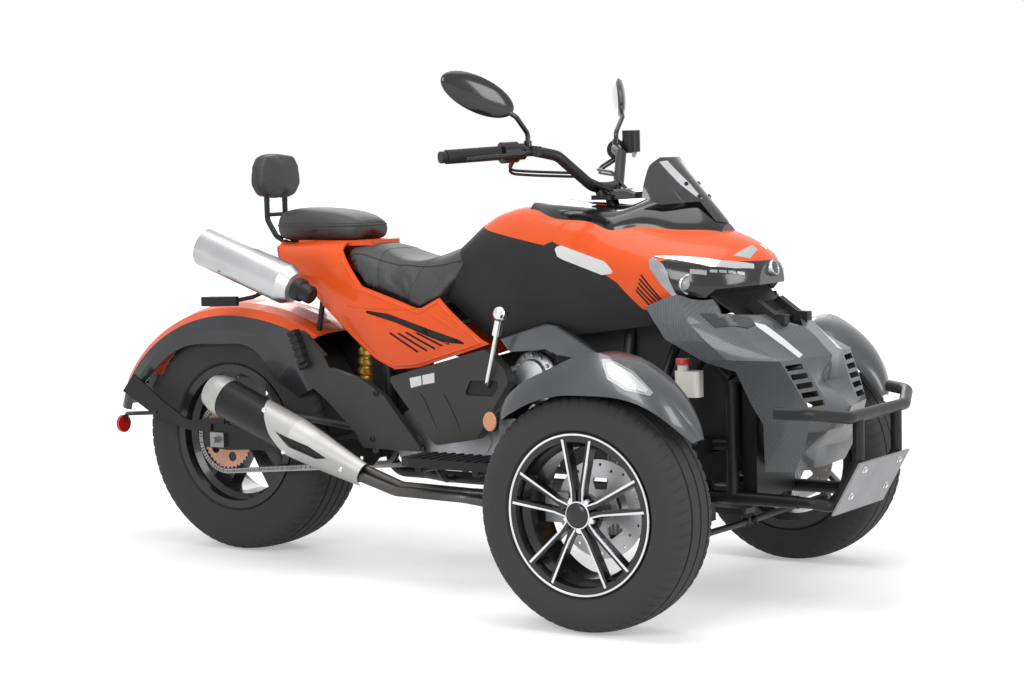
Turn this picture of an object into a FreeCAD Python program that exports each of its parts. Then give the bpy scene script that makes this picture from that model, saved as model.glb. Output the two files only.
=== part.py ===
import FreeCAD, Part
import math
import os
from FreeCAD import Vector

# Three wheeled road vehicle with two steered front wheels and one driven rear wheel.
# +X points forward, +Y to the rider's left and +Z up, with the ground at Z = 0.
# X = 0 is the middle of the overall length. All sizes are in millimetres.

# Main sizes
WHEELBASE = 1482.0
TRACK = 1066.0
REAR_OVERHANG = 465.0
FRONT_OVERHANG = 500.0
OVERALL_LENGTH = REAR_OVERHANG + WHEELBASE + FRONT_OVERHANG
REAR_X = REAR_OVERHANG - OVERALL_LENGTH / 2
FRONT_X = REAR_X + WHEELBASE

# Front wheel
FRONT_TYRE_RADIUS = 284.0
FRONT_TYRE_WIDTH = 172.0
FRONT_BEAD_RADIUS = 178.0
FRONT_RIM_WIDTH = 154.0
FRONT_LIP_RADIUS = 193.0
SPOKE_COUNT = 5
SPOKE_FACE_OUT = 78.0
RIM_WALL = 6.0
LUG_COUNT = 5
LUG_CIRCLE_RADIUS = 36.0
HUB_RADIUS = 30.0
DISC_RADIUS = 118.0
DISC_WALL = 4.0
DISC_IN = 27.0

# Rear wheel
REAR_TYRE_RADIUS = 332.0
REAR_TYRE_WIDTH = 210.0
REAR_BEAD_RADIUS = 192.0
REAR_RIM_WIDTH = 192.0
REAR_LIP_RADIUS = 208.0
SPROCKET_RADIUS = 88.0
SPROCKET_Y = 121.0
SPROCKET_WALL = 6.0
DRIVE_SPROCKET_RADIUS = 34.0
DRIVE_SHAFT_X = 640.0
CHAIN_WALL = 12.0
CHAIN_WIDTH = 14.0
AXLE_RADIUS = 11.0
SPIGOT_RADIUS = 8.0
SPIGOT_LENGTH = 16.0

# Running clearances
SHAFT_GAP = 0.05
SEAT_GAP = 0.3

# Steering
KINGPIN_Y = 440.0
KINGPIN_RADIUS = 10.0
KINGPIN_LOW = 176.0
KINGPIN_HIGH = 392.0
STEER_ARM = 120.0
STEER_LIMIT = math.radians(32.0)
STEER_RATIO = 0.8
COLUMN_LEAN = math.radians(19.3)
PITMAN_ARM = STEER_ARM * math.sin(STEER_RATIO * STEER_LIMIT) / math.sin(STEER_LIMIT) / math.cos(COLUMN_LEAN)
PITMAN_Z = 216.0
PITMAN_EYE_Y = 22.0
PITMAN_WALL = 14.0
TIE_ROD_DROP = 28.0
TIE_ROD_RADIUS = 8.0
TIE_BALL_RADIUS = 11.0
COLUMN_TOP_Z = 1012.0
COLUMN_RADIUS = 16.0
COLUMN_HOLE = 60.0
COLUMN_UP = Vector(-math.sin(COLUMN_LEAN), 0, math.cos(COLUMN_LEAN))
COLUMN_FOOT = Vector(FRONT_X + STEER_ARM - PITMAN_ARM, 0, PITMAN_Z)
BAR_RADIUS = 14.0
BAR_LOW_Z = 1031.0
BAR_RISE = 99.0
SWITCH_RADIUS = 27.0
GRIP_IN = 206.0
GRIP_OUT = 420.0
GRIP_PULL = 104.0
GRIP_BACK = 116.0
GRIP_DROP = 11.0
MIRROR_PLACE = 12.0
PERCH_PLACE = 34.0
SWITCH_START = 46.0
SWITCH_END = 88.0
SLEEVE_START = 95.0

# Frame and suspension
TUBE_RADIUS = 16.0
LOWER_RAIL_Y = 128.0
LOWER_RAIL_Z = 268.0
UPPER_RAIL_Y = 70.0
ARM_TUBE_RADIUS = 12.0
LOWER_ARM_Z = 200.0
UPPER_ARM_Z = 368.0
LOWER_ARM_INNER_Z = 222.0
UPPER_ARM_INNER_Z = 396.0
LOWER_ARM_BACK = 110.0
LOWER_ARM_AHEAD = 60.0
UPPER_ARM_SPREAD = 70.0
ARM_PIVOT_Y = 182.0
BUSH_RADIUS = 18.0
BUSH_LENGTH = 46.0
EYE_RADIUS = 24.0
ARM_BRACE_RADIUS = 10.0
TOWER_PIN_RADIUS = 12.0
HEAD_TUBE_X = -150.0
EYE_HEIGHT = 28.0
SHOCK_FOOT_Y = 322.0
SHOCK_HEAD_Y = 196.0
SHOCK_HEAD_Z = 560.0
SWINGARM_Y = 146.0
SWINGARM_WALL = 24.0
SWINGARM_HEIGHT = 50.0
PIVOT_X = 560.0
PIVOT_RADIUS = 10.0
PIVOT_RAIL_Y = 92.0
REAR_SHOCK_X = 430.0
REAR_SHOCK_Z = 716.0

# Bodywork
PANEL_WALL = 4.0
FENDER_WALL = 4.0
FENDER_SIDE_DROP = 40.0
FOOTBOARD_OUT = 330.0
FOOTBOARD_TOP = 346.0
MUFFLER_Y = 236.0
MUFFLER_RADIUS = 57.0
DECK_Z = 882.0
DECK_WALL = 14.0
DECK_FRONT = 496.0
CANISTER_Y = 230.0
CANISTER_RADIUS = 56.0
SKID_WALL = 5.0


def rx(offset):
    """X of a point given from the rear axle."""
    return REAR_X + offset


def fx(offset):
    """X of a point given from the front axle."""
    return FRONT_X + offset


def mirrored(shape):
    """The same shape on the other side of the centre plane."""
    return shape.mirror(Vector(0, 0, 0), Vector(0, 1, 0))


def both_sides(shape):
    """A right and a left copy as two solids."""
    return Part.makeCompound([shape, mirrored(shape)])


def joined(shapes):
    """One solid made of touching or overlapping shapes."""
    result = shapes[0].multiFuse(shapes[1:]) if len(shapes) > 1 else shapes[0]
    return result.removeSplitter()


def cylinder(start, end, radius):
    """A round bar between two points."""
    axis = end.sub(start)
    return Part.makeCylinder(radius, axis.Length, start, axis)


def box_between(low, high):
    """A box from its lowest to its highest corner."""
    size = high.sub(low)
    return Part.makeBox(size.x, size.y, size.z, low)


def rounded_wire(points, radius, closed=True):
    """Straight runs joined by tangent arcs of one radius, shortened where a run is short."""
    count = len(points)
    edges = []
    corners = range(count) if closed else range(1, count - 1)
    ends = {}
    for i in corners:
        before = points[i - 1].sub(points[i])
        after = points[(i + 1) % count].sub(points[i])
        turn = math.pi - before.getAngle(after)
        if turn < 0.02:
            ends[i] = (points[i], points[i], None)
            continue
        reach = min(radius * math.tan(turn / 2), 0.45 * before.Length, 0.45 * after.Length)
        first = points[i].add(before.normalize().multiply(reach))
        last = points[i].add(after.normalize().multiply(reach))
        bend = reach / math.tan(turn / 2)
        inward = first.add(last).multiply(0.5).sub(points[i])
        depth = math.hypot(bend, reach) - bend
        middle = points[i].add(inward.normalize().multiply(depth))
        ends[i] = (first, last, middle)
    if not closed:
        ends[0] = (points[0], points[0], None)
        ends[count - 1] = (points[-1], points[-1], None)
    for i in range(count if closed else count - 1):
        follower = (i + 1) % count
        edges.append(Part.LineSegment(ends[i][1], ends[follower][0]).toShape())
        if ends[follower][2] is not None:
            arc = Part.Arc(ends[follower][0], ends[follower][2], ends[follower][1])
            edges.append(arc.toShape())
    return Part.Wire(edges)


def side_outline(points, radius=0.0):
    """A closed wire in the side view from (x, z) pairs."""
    corners = [Vector(x, 0, z) for x, z in points]
    if radius > 0:
        return rounded_wire(corners, radius)
    return Part.makePolygon(corners + [corners[0]])


def side_slab(points, low_y, high_y, radius=0.0):
    """A side-view outline given a thickness across the vehicle."""
    face = Part.Face(side_outline(points, radius))
    face.translate(Vector(0, low_y, 0))
    return face.extrude(Vector(0, high_y - low_y, 0))


def plan_slab(points, low_z, high_z, radius=0.0):
    """A plan-view outline given a height."""
    corners = [Vector(x, y, low_z) for x, y in points]
    wire = rounded_wire(corners, radius) if radius > 0 else Part.makePolygon(corners + [corners[0]])
    return Part.Face(wire).extrude(Vector(0, 0, high_z - low_z))


def pipe(points, radius, bend):
    """A bent tube of round section along straight runs and tangent arcs."""
    path = rounded_wire(points, bend, closed=False)
    start_direction = points[1].sub(points[0])
    ring = Part.Wire(Part.makeCircle(radius, points[0], start_direction))
    return path.makePipeShell([ring], True, False)


def hull_section(x, half, inset=0.0, drop=0.0):
    """A closed section from half-profile (y, z) pairs, bottom to top centre, led on below by a drop."""
    points = []
    last = len(half) - 1
    for i, (y, z) in enumerate(half):
        points.append(Vector(x, max(y - inset, 0.0), z - inset * i / last))
    if drop > 0:
        share = drop / (points[1].z - points[0].z)
        points.insert(0, points[0].add(points[0].sub(points[1]).multiply(share)))
    other = [Vector(p.x, -p.y, p.z) for p in reversed(points[:-1])]
    curve = Part.BSplineCurve()
    curve.interpolate(points + other)
    closing = Part.LineSegment(other[-1], points[0])
    return Part.Wire([curve.toShape(), closing.toShape()])


def revolved_about_y(profile, centre, radius=0.0):
    """A ring solid from (y, r) pairs turned about a line along Y through centre."""
    points = [Vector(centre.x, centre.y + y, centre.z + r) for y, r in profile]
    wire = rounded_wire(points, radius) if radius > 0 else Part.makePolygon(points + [points[0]])
    return Part.Face(wire).revolve(centre, Vector(0, 1, 0), 360)


def tyre(centre, outer, width, rim_width, bead, lip, grooves):
    """A tyre with a rounded shoulder, bulged walls and grooves round its tread."""
    half = width / 2
    crown = 5.0
    wall = 9.0
    bead_out = rim_width / 2 - RIM_WALL - 2 - SEAT_GAP
    middle = (lip + outer) / 2
    right = [
        (bead_out, bead), (bead_out, lip + 1), (half - 3, lip + 11), (half, middle),
        (half - 8, outer - 24), (half - 26, outer - crown)]
    inside = [
        (half - 34, outer - 16), (half - wall - 2, outer - 34), (half - wall - 3, lip + 20),
        (bead_out - wall - 6, bead + 10), (bead_out - wall - 6, bead)]
    left = [(-y, r) for y, r in reversed(right)]
    left_inside = [(-y, r) for y, r in reversed(inside)]
    body = revolved_about_y(right + [(0, outer)] + left + left_inside + inside, centre)
    for place in grooves:
        cut = [(place - 3, outer - 7), (place + 3, outer - 7), (place + 3, outer + 5), (place - 3, outer + 5)]
        body = body.cut(revolved_about_y(cut, centre))
    return body


def rim_barrel(centre, bead, width, lip):
    """The rim's drop-centre barrel with a flange at each edge."""
    half = width / 2
    wall = RIM_WALL
    seat = bead - SEAT_GAP
    profile = [
        (-half, lip), (-half + wall, lip), (-half + wall + 2, seat), (-half + 30, seat),
        (-half + 42, bead - 16), (half - 42, bead - 16), (half - 30, seat), (half - wall - 2, seat),
        (half - wall, lip), (half, lip), (half, seat - wall), (half - 28, seat - wall),
        (half - 40, bead - 16 - wall), (-half + 40, bead - 16 - wall), (-half + 28, seat - wall),
        (-half, seat - wall)]
    return revolved_about_y(profile, centre)


def twin_spoke(centre, outward):
    """One pair of spokes that fork from the hub, drawn upright and swept through the rim's face."""
    face_y = centre.y + outward * SPOKE_FACE_OUT
    depth = 26.0
    inner = HUB_RADIUS - 6
    outer = FRONT_BEAD_RADIUS - 8
    spokes = []
    for side in (-1, 1):
        outline = [
            (side * 3, inner), (side * 15, inner), (side * 17, 62), (side * 40, outer),
            (side * 27, outer), (side * 7, 66), (side * 3, 50)]
        points = [Vector(centre.x + x, face_y, centre.z + z) for x, z in outline]
        face = Part.Face(Part.makePolygon(points + [points[0]]))
        spokes.append(face.extrude(Vector(0, -outward * depth, 0)))
    return spokes


def front_rim(centre, outward):
    """A cast wheel of five twin spokes, with a hub that runs on the stub axle."""
    y = centre.y
    pieces = [rim_barrel(centre, FRONT_BEAD_RADIUS, FRONT_RIM_WIDTH, FRONT_LIP_RADIUS)]
    hub_start = Vector(centre.x, y + outward * (SPOKE_FACE_OUT - 2), centre.z)
    hub_end = Vector(centre.x, y - outward * DISC_IN, centre.z)
    pieces.append(cylinder(hub_end, hub_start, HUB_RADIUS))
    flange_start = Vector(centre.x, y + outward * (SPOKE_FACE_OUT - 34), centre.z)
    flange_end = Vector(centre.x, y + outward * (SPOKE_FACE_OUT - 20), centre.z)
    pieces.append(cylinder(flange_start, flange_end, LUG_CIRCLE_RADIUS + 14))
    for turn in range(SPOKE_COUNT):
        for spoke in twin_spoke(centre, outward):
            spoke.rotate(centre, Vector(0, 1, 0), turn * 360.0 / SPOKE_COUNT)
            pieces.append(spoke)
    wheel = joined(pieces)
    bore_start = Vector(centre.x, y - outward * (DISC_IN + 1), centre.z)
    bore_end = Vector(centre.x, y + outward * (SPOKE_FACE_OUT - 22), centre.z)
    wheel = wheel.cut(cylinder(bore_start, bore_end, STUB_RADIUS + SHAFT_GAP))
    for turn in range(LUG_COUNT):
        angle = math.radians(36 + turn * 360.0 / LUG_COUNT)
        x = centre.x + LUG_CIRCLE_RADIUS * math.sin(angle)
        z = centre.z + LUG_CIRCLE_RADIUS * math.cos(angle)
        nut_start = Vector(x, y + outward * (SPOKE_FACE_OUT - 24), z)
        nut_end = Vector(x, y + outward * (SPOKE_FACE_OUT - 10), z)
        wheel = wheel.fuse(cylinder(nut_start, nut_end, 8))
    return wheel.removeSplitter()


STUB_RADIUS = 15.0
CALIPER_BACK = 84.0


def brake_disc(centre, outward):
    """A drilled disc bolted to the inner end of the hub."""
    y = centre.y - outward * DISC_IN
    inner = Vector(centre.x, y, centre.z)
    outer = Vector(centre.x, y - outward * DISC_WALL, centre.z)
    disc = cylinder(inner, outer, DISC_RADIUS)
    disc = disc.cut(cylinder(inner, outer, STUB_RADIUS + 6))
    for turn in range(5):
        window = [(-16, 46), (16, 46), (24, 74), (-24, 74)]
        points = [Vector(centre.x + x, y + 1, centre.z + z) for x, z in window]
        face = Part.Face(rounded_wire(points, 6))
        cut = face.extrude(Vector(0, -outward * (DISC_WALL + 2), 0))
        cut.translate(Vector(0, outward, 0))
        cut.rotate(centre, Vector(0, 1, 0), turn * 72)
        disc = disc.cut(cut)
    for turn in range(20):
        angle = math.radians(turn * 18)
        ring = DISC_RADIUS - 12 - 10 * (turn % 2)
        x = centre.x + ring * math.sin(angle)
        z = centre.z + ring * math.cos(angle)
        hole = cylinder(Vector(x, y + 1, z), Vector(x, y - outward * (DISC_WALL + 2), z), 4)
        hole.translate(Vector(0, outward, 0))
        disc = disc.cut(hole)
    return disc


def knuckle(side):
    """The upright that turns on the kingpin, with stub axle, steering arm and brake caliper."""
    x = FRONT_X
    y = side * KINGPIN_Y
    axle_z = FRONT_TYRE_RADIUS
    wheel_y = side * TRACK / 2
    pieces = [cylinder(Vector(x, y, KINGPIN_LOW), Vector(x, y, KINGPIN_HIGH), KINGPIN_RADIUS)]
    body_low = LOWER_ARM_Z + EYE_HEIGHT / 2 + SEAT_GAP
    body_high = UPPER_ARM_Z - EYE_HEIGHT / 2 - SEAT_GAP
    pieces.append(cylinder(Vector(x, y, body_low), Vector(x, y, body_high), 19))
    carrier_out = y + side * 34
    pieces.append(cylinder(Vector(x, y, axle_z), Vector(x, carrier_out, axle_z), 38))
    stub_end = wheel_y + side * (SPOKE_FACE_OUT - 26)
    pieces.append(cylinder(Vector(x, y, axle_z), Vector(x, stub_end, axle_z), STUB_RADIUS))
    arm = [(x - 14, y - 14), (x - 14, y + 14), (x + STEER_ARM, y + 10), (x + STEER_ARM, y - 10)]
    pieces.append(plan_slab(arm, body_low, body_low + 16, 6))
    ear_low = body_low
    eye = Vector(x + STEER_ARM, y, ear_low)
    pieces.append(Part.makeCylinder(14, 16, eye))
    disc_y = wheel_y - side * DISC_IN
    gap = 5.0
    back_y = disc_y - side * (DISC_WALL + gap)
    caliper_x = x - CALIPER_BACK
    inner_pad = box_between(
        Vector(caliper_x - 30, min(back_y, back_y - side * 26), axle_z - 42),
        Vector(caliper_x + 22, max(back_y, back_y - side * 26), axle_z + 42))
    bridge_low = min(back_y - side * 26, disc_y + side * (gap + 16))
    bridge_high = max(back_y - side * 26, disc_y + side * (gap + 16))
    bridge = box_between(
        Vector(caliper_x - 58, bridge_low, axle_z - 36), Vector(caliper_x - 40, bridge_high, axle_z + 36))
    inner_link = box_between(
        Vector(caliper_x - 58, min(back_y, back_y - side * 26), axle_z - 36),
        Vector(caliper_x - 28, max(back_y, back_y - side * 26), axle_z + 36))
    outer_pad = box_between(
        Vector(caliper_x - 58, min(disc_y + side * gap, disc_y + side * (gap + 16)), axle_z - 36),
        Vector(caliper_x + 8, max(disc_y + side * gap, disc_y + side * (gap + 16)), axle_z + 36))
    mount = box_between(
        Vector(caliper_x + 10, min(carrier_out - side * 16, back_y), axle_z - 24),
        Vector(x - 20, max(carrier_out - side * 16, back_y), axle_z + 24))
    pieces += [inner_pad, bridge, inner_link, outer_pad, mount]
    return joined(pieces).cut(cylinder(eye, eye.add(Vector(0, 0, 16)), 7))


FENDER_SECTIONS = [
    (137, (512, 300), (560, 310), (588, 311), (604, 299)),
    (128, (480, 317), (545, 331), (601, 329), (622, 291)),
    (116, (456, 329), (536, 342), (607, 338), (629, 284)),
    (98, (443, 341), (532, 356), (612, 352), (634, 282)),
    (82, (444, 356), (545, 382), (614, 386), (635, 286)),
    (67, (449, 350), (555, 384), (599, 375), (631, 305)),
    (54, (460, 336), (532, 371), (581, 361), (617, 321)),
    (43, (474, 324), (514, 354), (553, 346), (591, 325)),
    (33, (489, 314), (504, 331), (519, 330), (536, 318))]


def fender_curve(centre, angle, side, points):
    """A smooth line through (y, r) points in one plane through the wheel's axis."""
    curve = Part.BSplineCurve()
    curve.interpolate([radial(centre, angle, r, side * y) for y, r in points])
    return curve.toShape()


def fender_section(side, angle, inner, crown, ridge, outer):
    """One section of the fender: a domed top that ends in a ridge, and a skirt outside it."""
    wall = FENDER_WALL
    centre = Vector(FRONT_X, 0, FRONT_TYRE_RADIUS)
    shoulder = (inner[0] + 0.42 * (crown[0] - inner[0]), inner[1] + 0.74 * (crown[1] - inner[1]))
    belly = (ridge[0] + 0.62 * (outer[0] - ridge[0]), ridge[1] - 0.42 * (ridge[1] - outer[1]))
    top = [inner, shoulder, crown, ridge]
    skirt = [ridge, belly, outer]
    under_ridge = (ridge[0] - 0.5 * wall, ridge[1] - 1.3 * wall)
    under_skirt = [(outer[0] - wall, outer[1]), (belly[0] - wall, belly[1] - 0.3 * wall), under_ridge]
    under_top = [
        under_ridge, (crown[0], crown[1] - wall), (shoulder[0] + 1, shoulder[1] - wall),
        (inner[0] + 1, inner[1] - wall)]
    edges = [fender_curve(centre, angle, side, top), fender_curve(centre, angle, side, skirt)]
    edges.append(Part.LineSegment(
        radial(centre, angle, outer[1], side * outer[0]),
        radial(centre, angle, under_skirt[0][1], side * under_skirt[0][0])).toShape())
    edges.append(fender_curve(centre, angle, side, under_skirt))
    edges.append(fender_curve(centre, angle, side, under_top))
    edges.append(Part.LineSegment(
        radial(centre, angle, under_top[-1][1], side * under_top[-1][0]),
        radial(centre, angle, inner[1], side * inner[0])).toShape())
    return Part.Wire(edges)


def front_fender(side):
    """A ridged fender that follows its wheel, with the stay that carries it."""
    sections = [fender_section(side, *station) for station in FENDER_SECTIONS]
    skin = Part.makeLoft(sections, True, False)
    stay_y = side * (KINGPIN_Y - 18)
    reach_y = side * (KINGPIN_Y + 60)
    foot_point = Vector(fx(0), side * KINGPIN_Y, KINGPIN_HIGH + 8)
    stay = pipe([
        foot_point, Vector(fx(0), stay_y, KINGPIN_HIGH + 60), Vector(fx(0), stay_y, 590),
        Vector(fx(0), reach_y, 668)], 8, 30)
    foot = Part.makeCylinder(16, 12, Vector(fx(0), side * KINGPIN_Y, KINGPIN_HIGH))
    cross = pipe([
        Vector(fx(-140), reach_y, 640), Vector(fx(-80), stay_y, 540), Vector(fx(80), stay_y, 540),
        Vector(fx(140), reach_y, 650)], 7, 40)
    stays = joined([stay, foot, cross]).cut(skin)
    return skin, nearest_solid(stays, foot_point)


FENDER_LENS = [(66, 588), (66, 609), (148, 593), (214, 575), (212, 554), (145, 570)]


def fender_lens_block(side, gap):
    """The upright block that a lens takes out of its fender, grown by a gap."""
    middle_x = sum(x for x, y in FENDER_LENS) / len(FENDER_LENS)
    points = []
    for i, (x, y) in enumerate(FENDER_LENS):
        reach_x = gap if x > middle_x else -gap
        reach_y = gap if i in (1, 2, 3) else -gap
        points.append((fx(x + reach_x), side * (y + reach_y)))
    return plan_slab(points, 540, 700)


def fender_with_lens(skin, side):
    """The fender with its slot, and the clear lens that fills it."""
    lens = skin.common(fender_lens_block(side, 0))
    return skin.cut(fender_lens_block(side, SEAT_GAP)), lens


def along_column(height):
    """The point of the column's axis at a height."""
    return COLUMN_FOOT.add(Vector(COLUMN_UP).multiply((height - COLUMN_FOOT.z) / COLUMN_UP.z))


def pitman_eye(side):
    """The point of the pitman plate that carries a tie rod's stud."""
    return Vector(FRONT_X + STEER_ARM, side * PITMAN_EYE_Y, PITMAN_Z)


def tie_ball(side):
    """The centre of the ball at a tie rod's inner end."""
    return pitman_eye(side).sub(Vector(COLUMN_UP).multiply(TIE_ROD_DROP))


def tie_rod(side):
    """A rod from the pitman's ball to just below the steering arm's eye."""
    inner = tie_ball(side)
    outer = Vector(FRONT_X + STEER_ARM, side * KINGPIN_Y, inner.z)
    rod = cylinder(inner, outer, TIE_ROD_RADIUS)
    outer_ball = Part.makeSphere(TIE_BALL_RADIUS, outer)
    inner_ball = Part.makeSphere(TIE_BALL_RADIUS, inner)
    bore = cylinder(inner.sub(Vector(COLUMN_UP).multiply(30)), pitman_eye(side), 5 + SHAFT_GAP)
    return joined([rod, outer_ball, inner_ball]).cut(bore)


def steering_column():
    """The steering shaft with the pitman plate at its foot and the bar clamp at its head."""
    shaft = cylinder(along_column(PITMAN_Z), along_column(COLUMN_TOP_Z), COLUMN_RADIUS)
    foot = COLUMN_FOOT
    eye_x = FRONT_X + STEER_ARM
    outline = [
        (foot.x - 26, -22), (foot.x - 26, 22), (eye_x + 12, PITMAN_EYE_Y + 12),
        (eye_x + 12, -PITMAN_EYE_Y - 12)]
    plate = plan_slab(outline, PITMAN_Z - PITMAN_WALL / 2, PITMAN_Z + PITMAN_WALL / 2, 10)
    head = along_column(COLUMN_TOP_Z)
    top_plate = plan_slab([
        (head.x - 34, -50), (head.x - 34, 50), (head.x + 34, 50), (head.x + 34, -50)],
        COLUMN_TOP_Z - 12, COLUMN_TOP_Z, 14)
    risers = []
    for y in (-36, 36):
        risers.append(cylinder(Vector(head.x, y, COLUMN_TOP_Z - 4), Vector(head.x - 10, y, BAR_LOW_Z), 15))
    studs = []
    for side in (-1, 1):
        below = tie_ball(side).sub(Vector(COLUMN_UP).multiply(TIE_BALL_RADIUS + 2))
        studs.append(cylinder(pitman_eye(side), below, 5))
    return joined([shaft, plate, top_plate] + risers + studs).cut(handlebar(SEAT_GAP))


def bar_points(side):
    """Bends of the handlebar from its middle to one end."""
    head = along_column(COLUMN_TOP_Z)
    return [
        Vector(head.x - 10, 0, BAR_LOW_Z), Vector(head.x - 14, side * 64, BAR_LOW_Z + 3),
        Vector(head.x - 60, side * 158, BAR_LOW_Z + 85),
        Vector(head.x - GRIP_PULL, side * GRIP_IN, BAR_LOW_Z + BAR_RISE),
        Vector(head.x - GRIP_PULL - GRIP_BACK, side * GRIP_OUT, BAR_LOW_Z + BAR_RISE - GRIP_DROP)]


def handlebar(gap=0.0):
    """A bent bar, swept back at the grips."""
    right = bar_points(-1)
    left = bar_points(1)
    points = list(reversed(right)) + left[1:]
    return pipe(points, BAR_RADIUS + gap, 48)


def grip_axis(side):
    """Start and end of the straight end of the handlebar."""
    points = bar_points(side)
    return points[3], points[4]


def along_grip(side, place):
    """The point of the bar's straight end at a distance from its start."""
    start, end = grip_axis(side)
    return start.add(end.sub(start).normalize().multiply(place))


def grips():
    """A rubber sleeve and a weighted end on each bar end."""
    result = []
    for side in (-1, 1):
        start, end = grip_axis(side)
        direction = end.sub(start).normalize()
        sleeve = cylinder(along_grip(side, SLEEVE_START), end, BAR_RADIUS + 4)
        cap = cylinder(end, end.add(Vector(direction).multiply(16)), BAR_RADIUS + 1)
        sleeve = sleeve.cut(cylinder(start, end, BAR_RADIUS + SHAFT_GAP))
        result.append(joined([sleeve, cap]))
    return Part.makeCompound(result)


def hand_controls():
    """Switch blocks and lever perches that clamp round the bar, with the fluid pot on the left."""
    result = []
    for side in (-1, 1):
        start, end = grip_axis(side)
        bar = cylinder(along_grip(side, -8), end, BAR_RADIUS + SHAFT_GAP)
        block = cylinder(along_grip(side, SWITCH_START), along_grip(side, SWITCH_END), SWITCH_RADIUS)
        clamp = cylinder(along_grip(side, PERCH_PLACE - 9), along_grip(side, PERCH_PLACE + 9), 21)
        pivot = along_grip(side, PERCH_PLACE).add(Vector(46, 0, 0))
        web = cylinder(along_grip(side, PERCH_PLACE), pivot, 11)
        bridge = cylinder(along_grip(side, PERCH_PLACE), along_grip(side, SWITCH_START + 4), 20)
        if side > 0:
            pot = cylinder(pivot.add(Vector(0, 0, -8)), pivot.add(Vector(0, 0, 50)), 24)
        else:
            pot = cylinder(pivot.add(Vector(0, 0, -12)), pivot.add(Vector(0, 0, 12)), 15)
        lever = pipe([
            pivot, along_grip(side, 78).add(Vector(56, 0, -4)),
            end.add(Vector(52, -side * 12, -8))], 6, 20)
        result.append(joined([block, clamp, web, bridge, pot, lever]).cut(bar))
    return Part.makeCompound(result)


MIRROR_LONG = 104.0
MIRROR_WIDE = 45.0
MIRROR_THIN = 17.0


def mirror_head(side, centre):
    """A flat oval shell whose long axis rises outward and back."""
    long_way = Vector(-0.522, side * 0.745, 0.415).normalize()
    thin_way = Vector(-0.819, -side * 0.574, 0).normalize()
    wide_way = thin_way.cross(long_way)
    matrix = FreeCAD.Matrix(
        long_way.x * MIRROR_LONG, wide_way.x * MIRROR_WIDE, thin_way.x * MIRROR_THIN, centre.x,
        long_way.y * MIRROR_LONG, wide_way.y * MIRROR_WIDE, thin_way.y * MIRROR_THIN, centre.y,
        long_way.z * MIRROR_LONG, wide_way.z * MIRROR_WIDE, thin_way.z * MIRROR_THIN, centre.z,
        0, 0, 0, 1)
    return Part.makeSphere(1).transformGeometry(matrix)


def mirrors():
    """A stem from each end of the bar's bend to an oval mirror head."""
    result = []
    bar = handlebar(SEAT_GAP)
    for side in (-1, 1):
        seat = along_grip(side, MIRROR_PLACE)
        base = cylinder(seat, seat.add(Vector(0, 0, 26)), 10)
        neck = Vector(seat.x - 5, seat.y + side * 44, seat.z + 86)
        centre = Vector(seat.x - 64, side * 343, seat.z + 143)
        stem = pipe([
            seat.add(Vector(0, 0, 16)), seat.add(Vector(0, 0, 44)), neck,
            neck.add(Vector(-24, side * 32, 24))], 6.5, 22)
        result.append(nearest_solid(joined([base, stem, mirror_head(side, centre)]).cut(bar), centre))
    return Part.makeCompound(result)


BODY_STATIONS = [
    (rx(768), [(96, 704), (116, 742), (121, 790), (104, 840), (60, 866), (0, 874)]),
    (rx(860), [(120, 660), (140, 720), (143, 800), (128, 878), (80, 922), (0, 938)]),
    (rx(950), [(140, 640), (162, 720), (167, 808), (150, 892), (95, 964), (0, 988)]),
    (rx(1050), [(152, 640), (176, 720), (186, 808), (172, 894), (114, 970), (0, 996)]),
    (fx(-282), [(162, 660), (192, 730), (205, 808), (192, 888), (124, 964), (0, 986)]),
    (fx(-132), [(176, 680), (206, 738), (218, 800), (205, 868), (124, 946), (0, 968)]),
    (fx(-2), [(180, 700), (208, 748), (218, 792), (208, 848), (120, 918), (0, 944)]),
    (fx(98), [(150, 722), (184, 755), (194, 784), (184, 830), (104, 892), (0, 914)]),
    (fx(172), [(92, 742), (116, 762), (124, 786), (116, 820), (66, 860), (0, 876)]),
    (fx(200), [(52, 762), (62, 772), (66, 792), (61, 816), (38, 838), (0, 846)])]


def body_hull(inset, drop):
    """The closed form that the tank covers, bonnet and lamps share."""
    sections = [hull_section(x, half, inset, drop) for x, half in BODY_STATIONS]
    return Part.makeLoft(sections, True, False)


SEAT_LINE = [(rx(812), 884), (rx(846), 840), (rx(782), 748), (rx(930), 642)]
ORANGE_LINE = [
    (rx(880), 935), (rx(917), 925), (fx(-352), 890), (fx(-327), 900), (fx(-212), 852),
    (fx(-117), 800), (fx(-52), 735), (fx(96), 700)]
LAMP_LINE = [(fx(96), 712), (fx(50), 770), (fx(-21), 848), (fx(30), 860), (fx(180), 848), (fx(260), 848)]
LAMP_REGION = [
    (fx(50), 770), (fx(-21), 848), (fx(30), 860), (fx(180), 848), (fx(260), 848), (fx(260), 790),
    (fx(205), 790), (fx(133), 784), (fx(112), 764)]
NOSE_HALF = 60.0


def body_shell():
    """The hull as a thin wall, open below, with a hole for the steering column."""
    shell = body_hull(0, 0).cut(body_hull(PANEL_WALL, 60))
    hole = cylinder(along_column(600), along_column(1100), COLUMN_HOLE)
    return shell.cut(hole)


def bonnet(shell):
    """The painted top of the body, down to a pointed fin on each side."""
    region = ORANGE_LINE + LAMP_LINE + [(fx(260), 1100), (rx(812), 1100), (rx(812), 884)]
    return shell.common(side_slab(region, -400, 400))


def side_covers(shell):
    """The dark flanks of the body that the rider's knees hold."""
    region = SEAT_LINE + [(rx(930), 600), (fx(60), 600), (fx(96), 700)] + list(reversed(ORANGE_LINE[:-1]))
    return shell.common(side_slab(region, -400, 400))


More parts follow.
